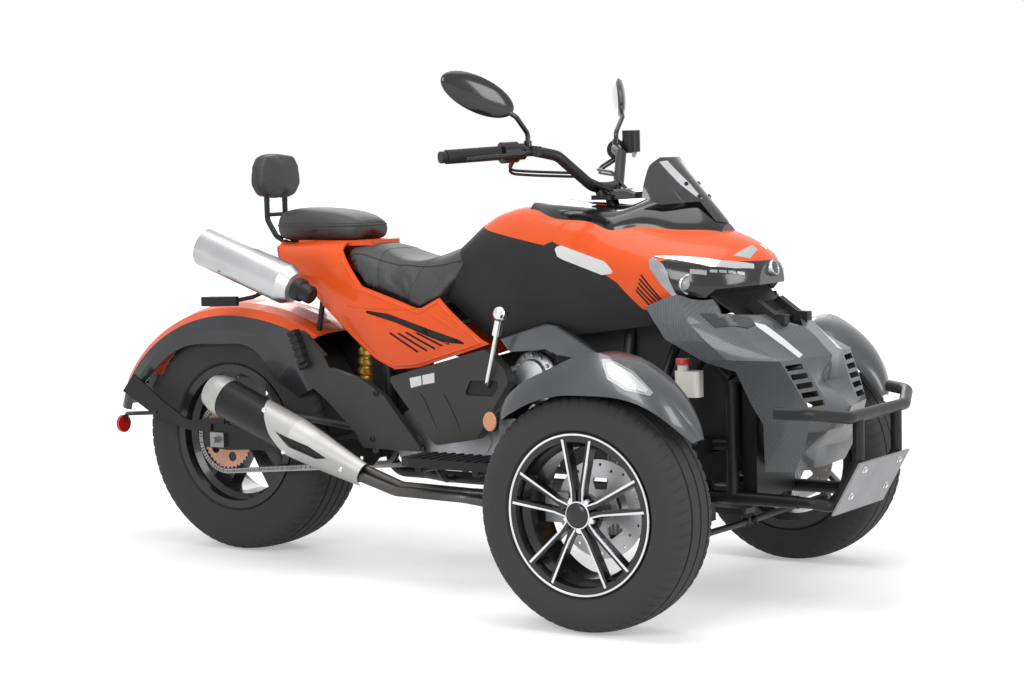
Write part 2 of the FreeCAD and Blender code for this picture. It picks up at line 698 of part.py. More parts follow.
def headlamps(hull):
    """The two lamp units that wrap round the front corners."""
    block = hull.common(side_slab(LAMP_REGION, -400, 400))
    return block.cut(box_between(Vector(fx(-60), -NOSE_HALF, 700), Vector(fx(260), NOSE_HALF, 900)))


def nose_panel(hull):
    """The dark middle of the nose between the lamps, with a round bare place for a badge."""
    block = hull.common(side_slab(LAMP_REGION, -NOSE_HALF + SEAT_GAP, NOSE_HALF - SEAT_GAP))
    block = block.cut(box_between(Vector(fx(-60), -100, 700), Vector(fx(90), 100, 900)))
    badge = cylinder(Vector(fx(150), 0, 812), Vector(fx(206), 0, 828), 15)
    return joined([block, badge.cut(hull.cut(block))])


def arm_brackets():
    """Plates on the frame that hold the bushes of the arms."""
    plates = []
    for side in (-1, 1):
        for offset, z in arm_pivots():
            top_z = max(z + 18, LOWER_RAIL_Z)
            for edge in (-1, 1):
                middle = fx(offset) + edge * (BUSH_LENGTH / 2 + 3)
                low_y = side * (LOWER_RAIL_Y - 24)
                high_y = side * (ARM_PIVOT_Y + 16)
                plates.append(box_between(
                    Vector(middle - 3, min(low_y, high_y), z - 18),
                    Vector(middle + 3, max(low_y, high_y), top_z)))
    return plates


def arm_pivots():
    """Offsets from the front axle and heights of the arms' inner bushes."""
    return [
        (-LOWER_ARM_BACK, LOWER_ARM_INNER_Z), (LOWER_ARM_AHEAD, LOWER_ARM_INNER_Z),
        (-UPPER_ARM_SPREAD, UPPER_ARM_INNER_Z), (UPPER_ARM_SPREAD, UPPER_ARM_INNER_Z)]


def shock_axis(side):
    """Foot and head of a front shock, seated on the lower arm's brace and under the tower's pin."""
    brace = Vector(FRONT_X, side * SHOCK_FOOT_Y, brace_height())
    pin = Vector(FRONT_X, side * SHOCK_HEAD_Y, SHOCK_HEAD_Z)
    direction = pin.sub(brace).normalize()
    foot = brace.add(Vector(direction).multiply(ARM_BRACE_RADIUS + SEAT_GAP))
    head = pin.sub(Vector(direction).multiply(TOWER_PIN_RADIUS + SEAT_GAP))
    return foot, head


def brace_height():
    """Height of the lower arm's brace, on the line from its bushes to its eye."""
    share = (SHOCK_FOOT_Y - ARM_PIVOT_Y) / (KINGPIN_Y - ARM_PIVOT_Y)
    return LOWER_ARM_INNER_Z + (LOWER_ARM_Z - LOWER_ARM_INNER_Z) * share


def main_frame():
    """The welded tube frame: cradle, backbone, front towers, seat rails and head tubes."""
    r = TUBE_RADIUS
    pieces = []
    pivot = rx(PIVOT_X)
    for side in (-1, 1):
        low_y = side * LOWER_RAIL_Y
        up_y = side * UPPER_RAIL_Y
        pivot_y = side * PIVOT_RAIL_Y
        rail = [
            Vector(fx(330), low_y, LOWER_RAIL_Z), Vector(rx(770), low_y, LOWER_RAIL_Z),
            Vector(rx(680), pivot_y, LOWER_RAIL_Z), Vector(pivot, pivot_y, LOWER_RAIL_Z),
            Vector(pivot, pivot_y, 560), Vector(pivot, up_y, 650), Vector(rx(470), up_y, 690),
            Vector(rx(210), up_y, 862)]
        pieces.append(pipe(rail, r, 50))
        backbone_end = Vector(fx(HEAD_TUBE_X), up_y, 800)
        tower_top = Vector(fx(150), low_y, 560)
        pieces.append(cylinder(Vector(pivot, up_y, 650), backbone_end, r))
        pieces.append(cylinder(backbone_end, tower_top, r))
        pieces.append(cylinder(tower_top, Vector(fx(150), low_y, LOWER_RAIL_Z), r))
        pieces.append(cylinder(Vector(fx(-150), low_y, LOWER_RAIL_Z), Vector(fx(-150), low_y, 520), r))
        pieces.append(cylinder(Vector(fx(-150), low_y, 520), backbone_end, r))
        pieces.append(cylinder(Vector(fx(-150), low_y, UPPER_ARM_INNER_Z + 4), Vector(fx(150), low_y, 400), r))
        tower_pin = Vector(fx(0), side * SHOCK_HEAD_Y, SHOCK_HEAD_Z)
        pieces.append(cylinder(Vector(fx(0), side * 100, 680), tower_pin, TOWER_PIN_RADIUS))
        half_pin = Vector(26, 0, 0)
        pieces.append(cylinder(tower_pin.sub(half_pin), tower_pin.add(half_pin), TOWER_PIN_RADIUS))
    for x, y, z in ((fx(150), LOWER_RAIL_Y, 560), (fx(150), LOWER_RAIL_Y, LOWER_RAIL_Z),
                    (fx(-40), LOWER_RAIL_Y, LOWER_RAIL_Z), (fx(HEAD_TUBE_X), UPPER_RAIL_Y, 800),
                    (pivot, UPPER_RAIL_Y, 650), (rx(REAR_SHOCK_X), UPPER_RAIL_Y, REAR_SHOCK_Z),
                    (rx(225), UPPER_RAIL_Y, 852)):
        pieces.append(cylinder(Vector(x, -y, z), Vector(x, y, z), r))
    for low, high in ((250, 300), (770, 836)):
        pieces.append(cylinder(along_column(low), along_column(high), COLUMN_RADIUS + 11))
    bar_z = 780
    pieces.append(cylinder(Vector(rx(240), -CANISTER_Y, bar_z), Vector(rx(240), CANISTER_Y, bar_z), 8))
    for side in (-1, 1):
        pieces.append(cylinder(
            Vector(rx(240), side * UPPER_RAIL_Y, bar_z), Vector(rx(240), side * UPPER_RAIL_Y, 840), 8))
    frame = joined(pieces + arm_brackets())
    bore = cylinder(along_column(200), along_column(1000), COLUMN_RADIUS + SHAFT_GAP)
    ends = Vector(0, 200, 0)
    bolt = Vector(pivot, 0, REAR_TYRE_RADIUS)
    bolt_hole = cylinder(bolt.sub(ends), bolt.add(ends), PIVOT_RADIUS + SEAT_GAP)
    return frame.cut(bore).cut(bolt_hole)


def frame_with_stays(parts):
    """The frame with thin stays that reach to the covers, seats, lamps and boards."""
    frame = main_frame()
    stays = []
    for side in (-1, 1):
        up_y = side * UPPER_RAIL_Y
        low_y = side * LOWER_RAIL_Y
        reaches = [
            ("bonnet", Vector(rx(1000), up_y, 740), Vector(rx(1000), side * 50, 1100)),
            ("side_covers", Vector(rx(1050), up_y, 740), Vector(rx(1050), side * 300, 760)),
            ("side_covers", Vector(fx(-60), side * 88, 724), Vector(fx(-60), side * 300, 712)),
            ("tail_panels", Vector(rx(640), up_y, 668), Vector(rx(640), side * 300, 640)),
            ("tail_panels", Vector(rx(300), side * 64, 806), Vector(rx(300), side * 64, 1000)),
            ("rider_seat", Vector(rx(650), side * 60, 664), Vector(rx(650), side * 60, 800)),
            ("rear_fender", Vector(rx(330), up_y, 782), Vector(rx(296), up_y, 600)),
            ("fascia", Vector(fx(150), low_y, 556), Vector(fx(400), low_y, 656)),
            ("engine", Vector(rx(820), low_y, LOWER_RAIL_Z), Vector(rx(820), side * 60, 330)),
            ("engine", Vector(rx(700), side * 100, LOWER_RAIL_Z), Vector(rx(700), side * 80, 340))]
        for node, start, end in reaches:
            stays.append(stay_to(parts[node], start, end, 8))
        for x in (rx(800), rx(980)):
            stays.append(pipe([
                Vector(x, low_y, LOWER_RAIL_Z), Vector(x, side * 176, LOWER_RAIL_Z),
                Vector(x, side * 214, FOOTBOARD_TOP - 36 - SEAT_GAP),
                Vector(x, side * 300, FOOTBOARD_TOP - 36 - SEAT_GAP)], 10, 24))
    stays.append(stay_to(
        parts["coolant_bottle"].Solids[0], Vector(fx(79), -LOWER_RAIL_Y + 12, 616), Vector(fx(63), -183, 552), 6))
    result = joined([frame] + stays)
    return result.cut(parts["upper_canisters"])


def suspension_arms():
    """Upper and lower A-shaped arms on each side, with bushes and kingpin eyes."""
    arms = []
    half = Vector(BUSH_LENGTH / 2, 0, 0)
    for side in (-1, 1):
        for z, pivots in ((LOWER_ARM_Z, arm_pivots()[:2]), (UPPER_ARM_Z, arm_pivots()[2:])):
            eye_centre = Vector(FRONT_X, side * KINGPIN_Y, z)
            pieces = [Part.makeCylinder(EYE_RADIUS, EYE_HEIGHT, eye_centre.sub(Vector(0, 0, EYE_HEIGHT / 2)))]
            for offset, inner_z in pivots:
                bush = Vector(fx(offset), side * ARM_PIVOT_Y, inner_z)
                pieces.append(cylinder(eye_centre, bush, ARM_TUBE_RADIUS))
                pieces.append(cylinder(bush.sub(half), bush.add(half), BUSH_RADIUS))
            if z == LOWER_ARM_Z:
                share = (KINGPIN_Y - SHOCK_FOOT_Y) / (KINGPIN_Y - ARM_PIVOT_Y)
                low = Vector(fx(-LOWER_ARM_BACK * share), side * SHOCK_FOOT_Y, brace_height())
                high = Vector(fx(LOWER_ARM_AHEAD * share), side * SHOCK_FOOT_Y, brace_height())
                pieces.append(cylinder(low, high, ARM_BRACE_RADIUS))
            hole = Part.makeCylinder(
                KINGPIN_RADIUS + SEAT_GAP, EYE_HEIGHT + 40, eye_centre.sub(Vector(0, 0, EYE_HEIGHT / 2 + 20)))
            arms.append(joined(pieces).cut(hole))
    return Part.makeCompound(arms)


def turned(profile, start, direction):
    """A solid of revolution from (distance, radius) pairs along a line from start."""
    points = [Vector(radius, 0, distance) for distance, radius in profile]
    face = Part.Face(Part.makePolygon(points + [points[0]]))
    solid = face.revolve(Vector(0, 0, 0), Vector(0, 0, 1), 360)
    solid.Placement = FreeCAD.Placement(start, FreeCAD.Rotation(Vector(0, 0, 1), direction))
    return solid


def nearest_solid(shape, point):
    """The solid of a cut shape that lies nearest to a point."""
    vertex = Part.Vertex(point)
    return min(shape.Solids, key=lambda solid: solid.distToShape(vertex)[0])


def stay_to(skin, start, end, radius):
    """A bar from start that stops where it meets a skin."""
    return nearest_solid(cylinder(start, end, radius).cut(skin), start)


def rear_rim(centre):
    """A cast rear wheel with five broad spokes and a hub that carries the sprocket."""
    pieces = [rim_barrel(centre, REAR_BEAD_RADIUS, REAR_RIM_WIDTH, REAR_LIP_RADIUS)]
    right_face = -(SPROCKET_Y - SPROCKET_WALL / 2)
    left_face = REAR_DISC_Y - DISC_WALL / 2
    hub_start = centre.add(Vector(0, right_face, 0))
    hub_end = centre.add(Vector(0, left_face, 0))
    pieces.append(cylinder(hub_start, hub_end, 42))
    for turn in range(SPOKE_COUNT):
        outline = [(-20, 34), (20, 34), (30, REAR_BEAD_RADIUS - 20), (-30, REAR_BEAD_RADIUS - 20)]
        spoke = side_slab([(centre.x + x, centre.z + z) for x, z in outline], -34, 22)
        spoke.rotate(centre, Vector(0, 1, 0), turn * 360.0 / SPOKE_COUNT)
        pieces.append(spoke)
    wheel = joined(pieces)
    bore_start = hub_start.sub(Vector(0, 1, 0))
    bore_end = hub_end.add(Vector(0, 1, 0))
    return wheel.cut(cylinder(bore_start, bore_end, AXLE_RADIUS + SHAFT_GAP))


def sprocket(centre):
    """The toothed wheel that the chain drives, bolted to the right end of the hub."""
    teeth = 38
    points = []
    for i in range(teeth):
        for share, radius in ((0.0, SPROCKET_RADIUS - 6), (0.35, SPROCKET_RADIUS), (0.65, SPROCKET_RADIUS)):
            angle = 2 * math.pi * (i + share) / teeth
            points.append((centre.x + radius * math.cos(angle), centre.z + radius * math.sin(angle)))
    body = side_slab(points, -SPROCKET_Y - SPROCKET_WALL / 2, -SPROCKET_Y + SPROCKET_WALL / 2)
    low = centre.add(Vector(0, -SPROCKET_Y - SPROCKET_WALL, 0))
    high = centre.add(Vector(0, -SPROCKET_Y + SPROCKET_WALL, 0))
    body = body.cut(cylinder(low, high, AXLE_RADIUS + 8))
    for turn in range(5):
        angle = math.radians(turn * 72)
        shift = Vector(56 * math.cos(angle), 0, 56 * math.sin(angle))
        body = body.cut(cylinder(low.add(shift), high.add(shift), 14))
    return body


REAR_DISC_Y = 122.0
REAR_DISC_RADIUS = 110.0


def rear_brake_disc(centre):
    """The rear brake disc at the left end of the hub."""
    low = centre.add(Vector(0, REAR_DISC_Y - DISC_WALL / 2, 0))
    high = centre.add(Vector(0, REAR_DISC_Y + DISC_WALL / 2, 0))
    return cylinder(low, high, REAR_DISC_RADIUS).cut(cylinder(low, high, AXLE_RADIUS + 8))


def loop_outline(rear_radius, front_radius):
    """A belt line round two wheels, as a closed wire in the side view."""
    rear = Vector(REAR_X, 0, REAR_TYRE_RADIUS)
    front = Vector(rx(DRIVE_SHAFT_X), 0, REAR_TYRE_RADIUS)
    tilt = math.asin((rear_radius - front_radius) / DRIVE_SHAFT_X)
    up = Vector(math.sin(tilt), 0, math.cos(tilt))
    down = Vector(math.sin(tilt), 0, -math.cos(tilt))
    a = rear.add(Vector(up).multiply(rear_radius))
    b = front.add(Vector(up).multiply(front_radius))
    c = front.add(Vector(down).multiply(front_radius))
    d = rear.add(Vector(down).multiply(rear_radius))
    front_arc = Part.Arc(b, front.add(Vector(front_radius, 0, 0)), c)
    rear_arc = Part.Arc(d, rear.sub(Vector(rear_radius, 0, 0)), a)
    lines = [Part.LineSegment(a, b), Part.LineSegment(c, d)]
    return Part.Wire([lines[0].toShape(), front_arc.toShape(), lines[1].toShape(), rear_arc.toShape()])


def drive_chain():
    """The chain as one closed band round both sprockets."""
    inner = SPROCKET_RADIUS + 2
    front_inner = DRIVE_SPROCKET_RADIUS + SEAT_GAP
    outer_face = Part.Face(loop_outline(inner + CHAIN_WALL, front_inner + CHAIN_WALL))
    inner_face = Part.Face(loop_outline(inner, front_inner))
    band = outer_face.cut(inner_face)
    band.translate(Vector(0, -SPROCKET_Y - CHAIN_WIDTH / 2, 0))
    return band.extrude(Vector(0, CHAIN_WIDTH, 0))


def swingarm():
    """Two box arms from the pivot to the axle, joined ahead of the tyre."""
    axle_z = REAR_TYRE_RADIUS
    half = SWINGARM_HEIGHT / 2
    outline = [
        (rx(-58), axle_z - 24), (rx(-58), axle_z + 24), (rx(-20), axle_z + 46), (rx(60), axle_z + 40),
        (rx(130), axle_z + half), (rx(PIVOT_X + 24), axle_z + half - 6),
        (rx(PIVOT_X + 24), axle_z - half + 4), (rx(100), axle_z - half), (rx(30), axle_z - 30)]
    pieces = []
    low_y = SWINGARM_Y - SWINGARM_WALL / 2
    high_y = SWINGARM_Y + SWINGARM_WALL / 2
    for side in (-1, 1):
        pieces.append(side_slab(outline, min(side * low_y, side * high_y), max(side * low_y, side * high_y), 12))
    pieces.append(box_between(
        Vector(rx(388), -low_y - 1, axle_z - 22), Vector(rx(424), low_y + 1, axle_z + 22)))
    lug = side_slab([
        (rx(396), axle_z + 10), (rx(392), axle_z + 76), (rx(412), axle_z + 90), (rx(432), axle_z + 76),
        (rx(424), axle_z + 10)], -26, 26, 8)
    slot = box_between(Vector(rx(380), -19, axle_z + 24), Vector(rx(440), 19, axle_z + 100))
    pieces.append(lug.cut(slot))
    arm = joined(pieces)
    ends = Vector(0, 200, 0)
    axle = Vector(REAR_X, 0, axle_z)
    pivot = Vector(rx(PIVOT_X), 0, axle_z)
    arm = arm.cut(cylinder(axle.sub(ends), axle.add(ends), AXLE_RADIUS + SEAT_GAP))
    return arm.cut(cylinder(pivot.sub(ends), pivot.add(ends), PIVOT_RADIUS + SEAT_GAP))


def rear_axle():
    """The fixed spindle that the rear wheel turns on, and the swingarm's pivot bolt."""
    axle_z = REAR_TYRE_RADIUS
    half = SWINGARM_Y + SWINGARM_WALL / 2
    axle = cylinder(Vector(REAR_X, -half - 14, axle_z), Vector(REAR_X, half + 14, axle_z), AXLE_RADIUS)
    spigot = half + 14 + SPIGOT_LENGTH
    axle = axle.fuse(cylinder(
        Vector(REAR_X, -spigot, axle_z), Vector(REAR_X, spigot, axle_z), SPIGOT_RADIUS))
    pivot = cylinder(
        Vector(rx(PIVOT_X), -half - 5, axle_z), Vector(rx(PIVOT_X), half + 5, axle_z), PIVOT_RADIUS)
    return Part.makeCompound([axle, pivot])


def axle_adjusters():
    """Bright blocks that hold the axle's ends and set the chain's tension."""
    y = SWINGARM_Y + SWINGARM_WALL / 2
    z = REAR_TYRE_RADIUS
    block = side_slab([(rx(-26), z - 22), (rx(-26), z + 20), (rx(24), z + 20), (rx(24), z - 22)], -y - 11, -y, 4)
    hole = cylinder(Vector(REAR_X, -y - 30, z), Vector(REAR_X, -y + 5, z), AXLE_RADIUS + SEAT_GAP)
    return both_sides(block.cut(hole))


def coil_over(foot, head, radius):
    """A damper with its coil as a stack of turns, eyes at both ends."""
    length = head.sub(foot).Length
    turns = 7
    step = (length - 90) / turns
    profile = [(0, 0), (0, 11), (34, 11), (34, radius)]
    for i in range(turns):
        start = 40 + i * step
        profile += [(start + step * 0.2, radius), (start + step * 0.5, radius - 7), (start + step * 0.8, radius)]
    profile += [(length - 46, radius), (length - 46, 15), (length, 15), (length, 0)]
    return turned(profile, foot, head.sub(foot))


def front_shocks():
    """A coil-over from each lower arm up to the frame."""
    return Part.makeCompound([coil_over(*shock_axis(side), 27) for side in (-1, 1)])


def rear_shock():
    """The single gold coil-over between the swingarm and the frame."""
    foot = Vector(rx(412), 0, REAR_TYRE_RADIUS + 76)
    top = Vector(rx(REAR_SHOCK_X), 0, REAR_SHOCK_Z)
    direction = top.sub(foot).normalize()
    cap_radius = 15.0
    head = top.sub(Vector(direction).multiply(TUBE_RADIUS + cap_radius + SEAT_GAP))
    body = coil_over(foot, head, 30)
    pin = cylinder(foot.add(Vector(0, -18.7, 0)), foot.add(Vector(0, 18.7, 0)), 13)
    cap = cylinder(head.add(Vector(0, -20, 0)), head.add(Vector(0, 20, 0)), cap_radius)
    return joined([body, pin, cap])


def engine():
    """The engine as one block: crankcase, finned cylinder and round covers."""
    case = side_slab([
        (rx(604), 296), (rx(600), 420), (rx(690), 478), (fx(-440), 470), (fx(-390), 420), (fx(-396), 330),
        (fx(-440), 290)], -98, 98, 40)
    pieces = [case]
    low = Vector(fx(-470), 0, 430)
    high = Vector(fx(-405), 0, 610)
    direction = high.sub(low)
    pieces.append(turned([(0, 0), (0, 54), (direction.Length, 54), (direction.Length, 0)], low, direction))
    for i in range(7):
        place = 62 + i * 17
        fin = turned([(place, 0), (place, 74), (place + 5, 74), (place + 5, 0)], low, direction)
        pieces.append(fin)
    head_profile = [(direction.Length - 30, 0), (direction.Length - 30, 66), (direction.Length, 60),
                    (direction.Length, 0)]
    pieces.append(turned(head_profile, low, direction))
    for side in (-1, 1):
        cover = Vector(rx(850), side * 96, 380)
        pieces.append(cylinder(cover, cover.add(Vector(0, side * 16, 0)), 84))
        pieces.append(cylinder(cover, cover.add(Vector(0, side * 22, 0)), 60))
    shaft = Vector(rx(DRIVE_SHAFT_X), -90, REAR_TYRE_RADIUS)
    pieces.append(cylinder(shaft, Vector(shaft.x, -SPROCKET_Y - 5, shaft.z), 13))
    pieces.append(cylinder(
        Vector(shaft.x, -SPROCKET_Y + 3, shaft.z), Vector(shaft.x, -SPROCKET_Y - 3, shaft.z),
        DRIVE_SPROCKET_RADIUS))
    for side in (-1, 1):
        pieces.append(cylinder(Vector(rx(764), side * 90, 436), Vector(rx(764), side * 190.7, 436), 9))
        pieces.append(cylinder(Vector(rx(985), side * 20, 562), Vector(rx(985), side * 190.7, 562), 9))
    return joined(pieces)


def exhaust_routes():
    """Each pipe's bends from the muffler's mouth to the engine's exhaust port."""
    inner_y = -MUFFLER_Y + 14
    outer_y = -MUFFLER_Y - 14
    inner = [
        Vector(rx(570.2), inner_y, 286), Vector(rx(690), inner_y, 248), Vector(rx(900), inner_y + 4, 244),
        Vector(rx(1000), -164, 236), Vector(fx(-400), -76, 236), Vector(fx(-356), -14, 290),
        Vector(fx(-360), -14, 400), Vector(fx(-400), -14, 520)]
    outer = [
        Vector(rx(565.5), outer_y, 274), Vector(rx(690), outer_y, 240), Vector(rx(900), outer_y + 4, 236),
        Vector(rx(1010), -178, 208), Vector(fx(-392), -60, 208), Vector(fx(-342), 14, 270),
        Vector(fx(-346), 14, 400), Vector(fx(-386), 14, 520)]
    return inner, outer


def exhaust_pipe(block):
    """Twin pipes under the right footboard to the front of the engine."""
    return Part.makeCompound([
        nearest_solid(pipe(route, 13, 46).cut(block), route[0]) for route in exhaust_routes()])


MUFFLER_TAIL = Vector(rx(50), -MUFFLER_Y, 482)
MUFFLER_MOUTH = Vector(rx(566), -MUFFLER_Y, 280)


def muffler_parts():
    """The lower muffler: a bright end cap, a black can and a bright outer shield with a slot."""
    direction = MUFFLER_MOUTH.sub(MUFFLER_TAIL)
    length = direction.Length
    r = MUFFLER_RADIUS
    cap = turned([(0, 30), (0, 46), (28, r - 2), (62, r), (62, 30)], MUFFLER_TAIL, direction)
    can = turned([
        (8, 0), (8, 29.7), (62 + SEAT_GAP, 29.7), (62 + SEAT_GAP, r - 2), (330, r - 2), (length - 26, 32),
        (length, 30), (length, 0)], MUFFLER_TAIL, direction)
    inner = [(190, r - 2 + SEAT_GAP), (330, r - 2 + SEAT_GAP), (length - 20, 32 + SEAT_GAP)]
    outer = [(length + 12, 30 + SEAT_GAP), (length + 12, 34), (length - 20, 38), (330, r + 5), (190, r + 5)]
    shield = turned(inner + [(length, 30 + SEAT_GAP)] + outer, MUFFLER_TAIL, direction)
    keep = side_slab([
        (rx(236), 520), (rx(330), 520), (rx(640), 320), (rx(640), 220), (rx(560), 236), (rx(338), 322),
        (rx(300), 376)], -MUFFLER_Y - 90, -MUFFLER_Y - 8)
    slot = side_slab([
        (rx(322), 386), (rx(427), 350), (rx(484), 319), (rx(450), 316), (rx(365), 345)],
        -MUFFLER_Y - 100, -MUFFLER_Y)
    return cap, can, shield.common(keep).cut(slot)


def upper_canisters():
    """A brushed canister each side of the tail, with its dark inlet."""
    direction = CANISTER_FRONT.sub(CANISTER_TAIL)
    length = direction.Length
    r = CANISTER_RADIUS
    body = turned([
        (0, r - 7), (0, r), (length - 16, r), (length + 14, r - 14), (length + 20, 26), (length + 20, 0),
        (24, 0), (24, r - 7)], CANISTER_TAIL, direction)
    inlet = turned([
        (length + 20, 0), (length + 20, 31), (length + 40, 31), (length + 46, 25), (length + 72, 25),
        (length + 78, 18), (length + 78, 0)], CANISTER_TAIL, direction)
    return both_sides(body), both_sides(inlet)


CANISTER_TAIL = Vector(rx(41), -CANISTER_Y, 883)
CANISTER_FRONT = Vector(rx(339), -CANISTER_Y, 778)


def radial(centre, angle_deg, radius, y):
    """A point in the side view at an angle and radius from the rear axle."""
    angle = math.radians(angle_deg)
    return Vector(centre.x + radius * math.cos(angle), y, centre.z + radius * math.sin(angle))


FENDER_RINGS = [
    (171.5, REAR_OVERHANG / math.cos(math.radians(8.5)), 94, 28), (160, 450, 111, 45),
    (139, 414, 126, 57), (114, 391, 128, 64), (93, 388, 128, 81), (75, 398, 128, 81), (57, 424, 122, 121),
    (43, 452, 118, 162)]


def fender_ring(centre, angle, crest, half):
    """A section of the crown, across the vehicle."""
    wall = PANEL_WALL
    top = [(0, crest), (0.5 * half, crest - 5), (0.82 * half, crest - 16), (half, crest - FENDER_SIDE_DROP)]
    under = [
        (half - wall, crest - FENDER_SIDE_DROP), (0.82 * half - 1, crest - 16 - wall),
        (0.5 * half, crest - 5 - wall)]
    ring = top + under + [(0, crest - wall)] + [(-y, r) for y, r in reversed(under)]
    ring += [(-y, r) for y, r in reversed(top[1:])]
    points = [radial(centre, angle, r, y) for y, r in ring]
    return Part.makePolygon(points + [points[0]])


def crown_part(first, last):
    """The crown between two of its sections."""
    centre = Vector(REAR_X, 0, REAR_TYRE_RADIUS)
    wires = [fender_ring(centre, angle, crest, half) for angle, crest, half, depth in FENDER_RINGS[first:last]]
    return Part.makeLoft(wires, True, False)


def rear_fender():
    """The painted crown over the rear tyre."""
    return crown_part(1, len(FENDER_RINGS))


def arch_ring(centre, angle, outer, inner, half):
    """A section of a side trim: a thin band that bulges outward."""
    middle = 0.5 * (outer + inner)
    wall = PANEL_WALL
    ring = [
        (-half, outer), (-half - wall, middle), (-half, inner), (-half + wall, inner),
        (-half + 1, middle), (-half + wall, outer)]
    points = [radial(centre, angle, r, y) for y, r in ring]
    return Part.makePolygon(points + [points[0]])


def fender_arches(crown):
    """Dark trims below the crown, one each side of the tyre, and the dark tip behind it."""
    centre = Vector(REAR_X, 0, REAR_TYRE_RADIUS)
    wires = []
    for angle, crest, half, depth in FENDER_RINGS:
        outer = crest - FENDER_SIDE_DROP + 2
        wires.append(arch_ring(centre, angle, outer, outer - depth, half))
    band = Part.makeLoft(wires, True, False)
    tail = Part.makeLoft([wires[-1], arch_ring(centre, 26, 372, 290, half)], True, True)
    tip = crown_part(0, 2)
    arch = joined([band, tail]).cut(crown).cut(tip)
    trims = both_sides(nearest_solid(arch, radial(centre, 93, 300, -half)))
    return Part.makeCompound(trims.Solids + [tip])


def fender_stays(arches):
    """Angled plates from the axle up to the tail of each arch."""
    y = SWINGARM_Y + SWINGARM_WALL / 2 + SEAT_GAP
    z = REAR_TYRE_RADIUS
    plate = side_slab([
        (rx(-318), z + 176), (rx(-362), z + 124), (rx(-240), z + 58), (rx(-111), z + 22), (rx(-26.3), z + 22),
        (rx(-26.3), z + 44), (rx(24), z + 44), (rx(24), z + 64), (rx(-96), z + 50), (rx(-116), z + 52),
        (rx(-203), z + 98)], -y - 6, -y)
    post = stay_to(arches, Vector(rx(-326), -y, z + 148), Vector(rx(-326), -100, z + 148), 9)
    arm = pipe([
        Vector(rx(-230), -y - 3, z + 66), Vector(rx(-330), -y + 8, z + 58),
        Vector(rx(-388), -y + 34, z + 52), Vector(rx(-392), -y + 36, z + 32)], 6, 16)
    return both_sides(joined([plate, post, arm]))


def rear_reflectors():
    """Round red reflectors behind the stays."""
    y = SWINGARM_Y + SWINGARM_WALL / 2 + SEAT_GAP - 36
    centre = Vector(rx(-392), -y, REAR_TYRE_RADIUS + 22)
    back = Vector(-9, 0, 0)
    face = centre.sub(Vector(6 + SEAT_GAP, 0, 0))
    disc = cylinder(face, face.add(back), 26)
    return both_sides(disc)


TAIL_STATIONS = [
    (rx(150), [(66, 800), (80, 826), (85, 858), (78, 886), (48, 898), (0, 901)]),
    (rx(300), [(98, 736), (116, 780), (121, 830), (109, 878), (70, 898), (0, 902)]),
    (rx(450), [(130, 640), (148, 700), (152, 780), (139, 850), (95, 890), (0, 902)]),
    (rx(600), [(150, 540), (168, 600), (172, 680), (160, 760), (120, 830), (0, 850)]),
    (rx(780), [(160, 540), (176, 590), (180, 650), (168, 730), (130, 790), (0, 810)]),
    (rx(970), [(162, 560), (176, 600), (180, 640), (170, 690), (130, 740), (0, 760)])]

TAIL_OUTLINE = [
    (rx(172), 895), (rx(430), 896), (rx(436), 870), (rx(524), 776), (rx(722), 717), (rx(782), 748),
    (rx(928), 643), (rx(952), 632), (rx(716), 562), (rx(632), 554), (rx(565), 578), (rx(432), 664),
    (rx(322), 750), (rx(197), 838)]

SLASH = [(rx(486), 716), (rx(620), 704), (rx(860), 640), (rx(880), 628), (rx(800), 634), (rx(640), 682)]


VENT_BACKING = [
    (rx(470), 730), (rx(620), 718), (rx(866), 654), (rx(892), 622), (rx(800), 620), (rx(630), 668)]


def vent_backings():
    """Dark plates close behind the slash vents."""
    near = PANEL_WALL + SEAT_GAP
    outer = Part.makeLoft([hull_section(x, half, near) for x, half in TAIL_STATIONS], True, False)
    inner = Part.makeLoft(
        [hull_section(x, half, near + LINER_WALL, 60) for x, half in TAIL_STATIONS], True, False)
    return outer.cut(inner).common(side_slab(VENT_BACKING, -300, 300)).Solids


def tail_panels():
    """Painted side panels from the knee to the tail, with slash vents and a deck for the pillion."""
    outer = Part.makeLoft([hull_section(x, half) for x, half in TAIL_STATIONS], True, False)
    inner = Part.makeLoft([hull_section(x, half, PANEL_WALL, 60) for x, half in TAIL_STATIONS], True, False)
    shell = outer.cut(inner).common(side_slab(TAIL_OUTLINE, -300, 300))
    shell = shell.cut(side_slab(SLASH, -300, 300, 6))
    deck = plan_slab([
        (rx(236), -76), (rx(236), 76), (rx(420), 92), (rx(470), 88), (rx(DECK_FRONT), 62),
        (rx(DECK_FRONT), -62), (rx(470), -88), (rx(420), -92)], DECK_Z, DECK_Z + DECK_WALL, 20)
    return joined([shell, deck])


SEAT_STATIONS = [
    (rx(424), [(128, 690), (136, 770), (128, 830), (104, 866), (56, 878), (0, 880)]),
    (rx(540), [(150, 690), (157, 740), (148, 796), (117, 846), (60, 862), (0, 863)]),
    (rx(674), [(160, 690), (163, 730), (149, 782), (114, 822), (60, 834), (0, 835)]),
    (rx(765), [(152, 690), (157, 740), (137, 798), (100, 846), (50, 864), (0, 866)]),
    (rx(860), [(112, 690), (126, 760), (112, 836), (86, 886), (42, 902), (0, 904)])]

SEAT_OUTLINE = [
    (rx(812), 884), (rx(812), 920), (rx(430), 920), (rx(437), 870), (rx(524), 777), (rx(722), 718),
    (rx(781), 749), (rx(845), 840)]


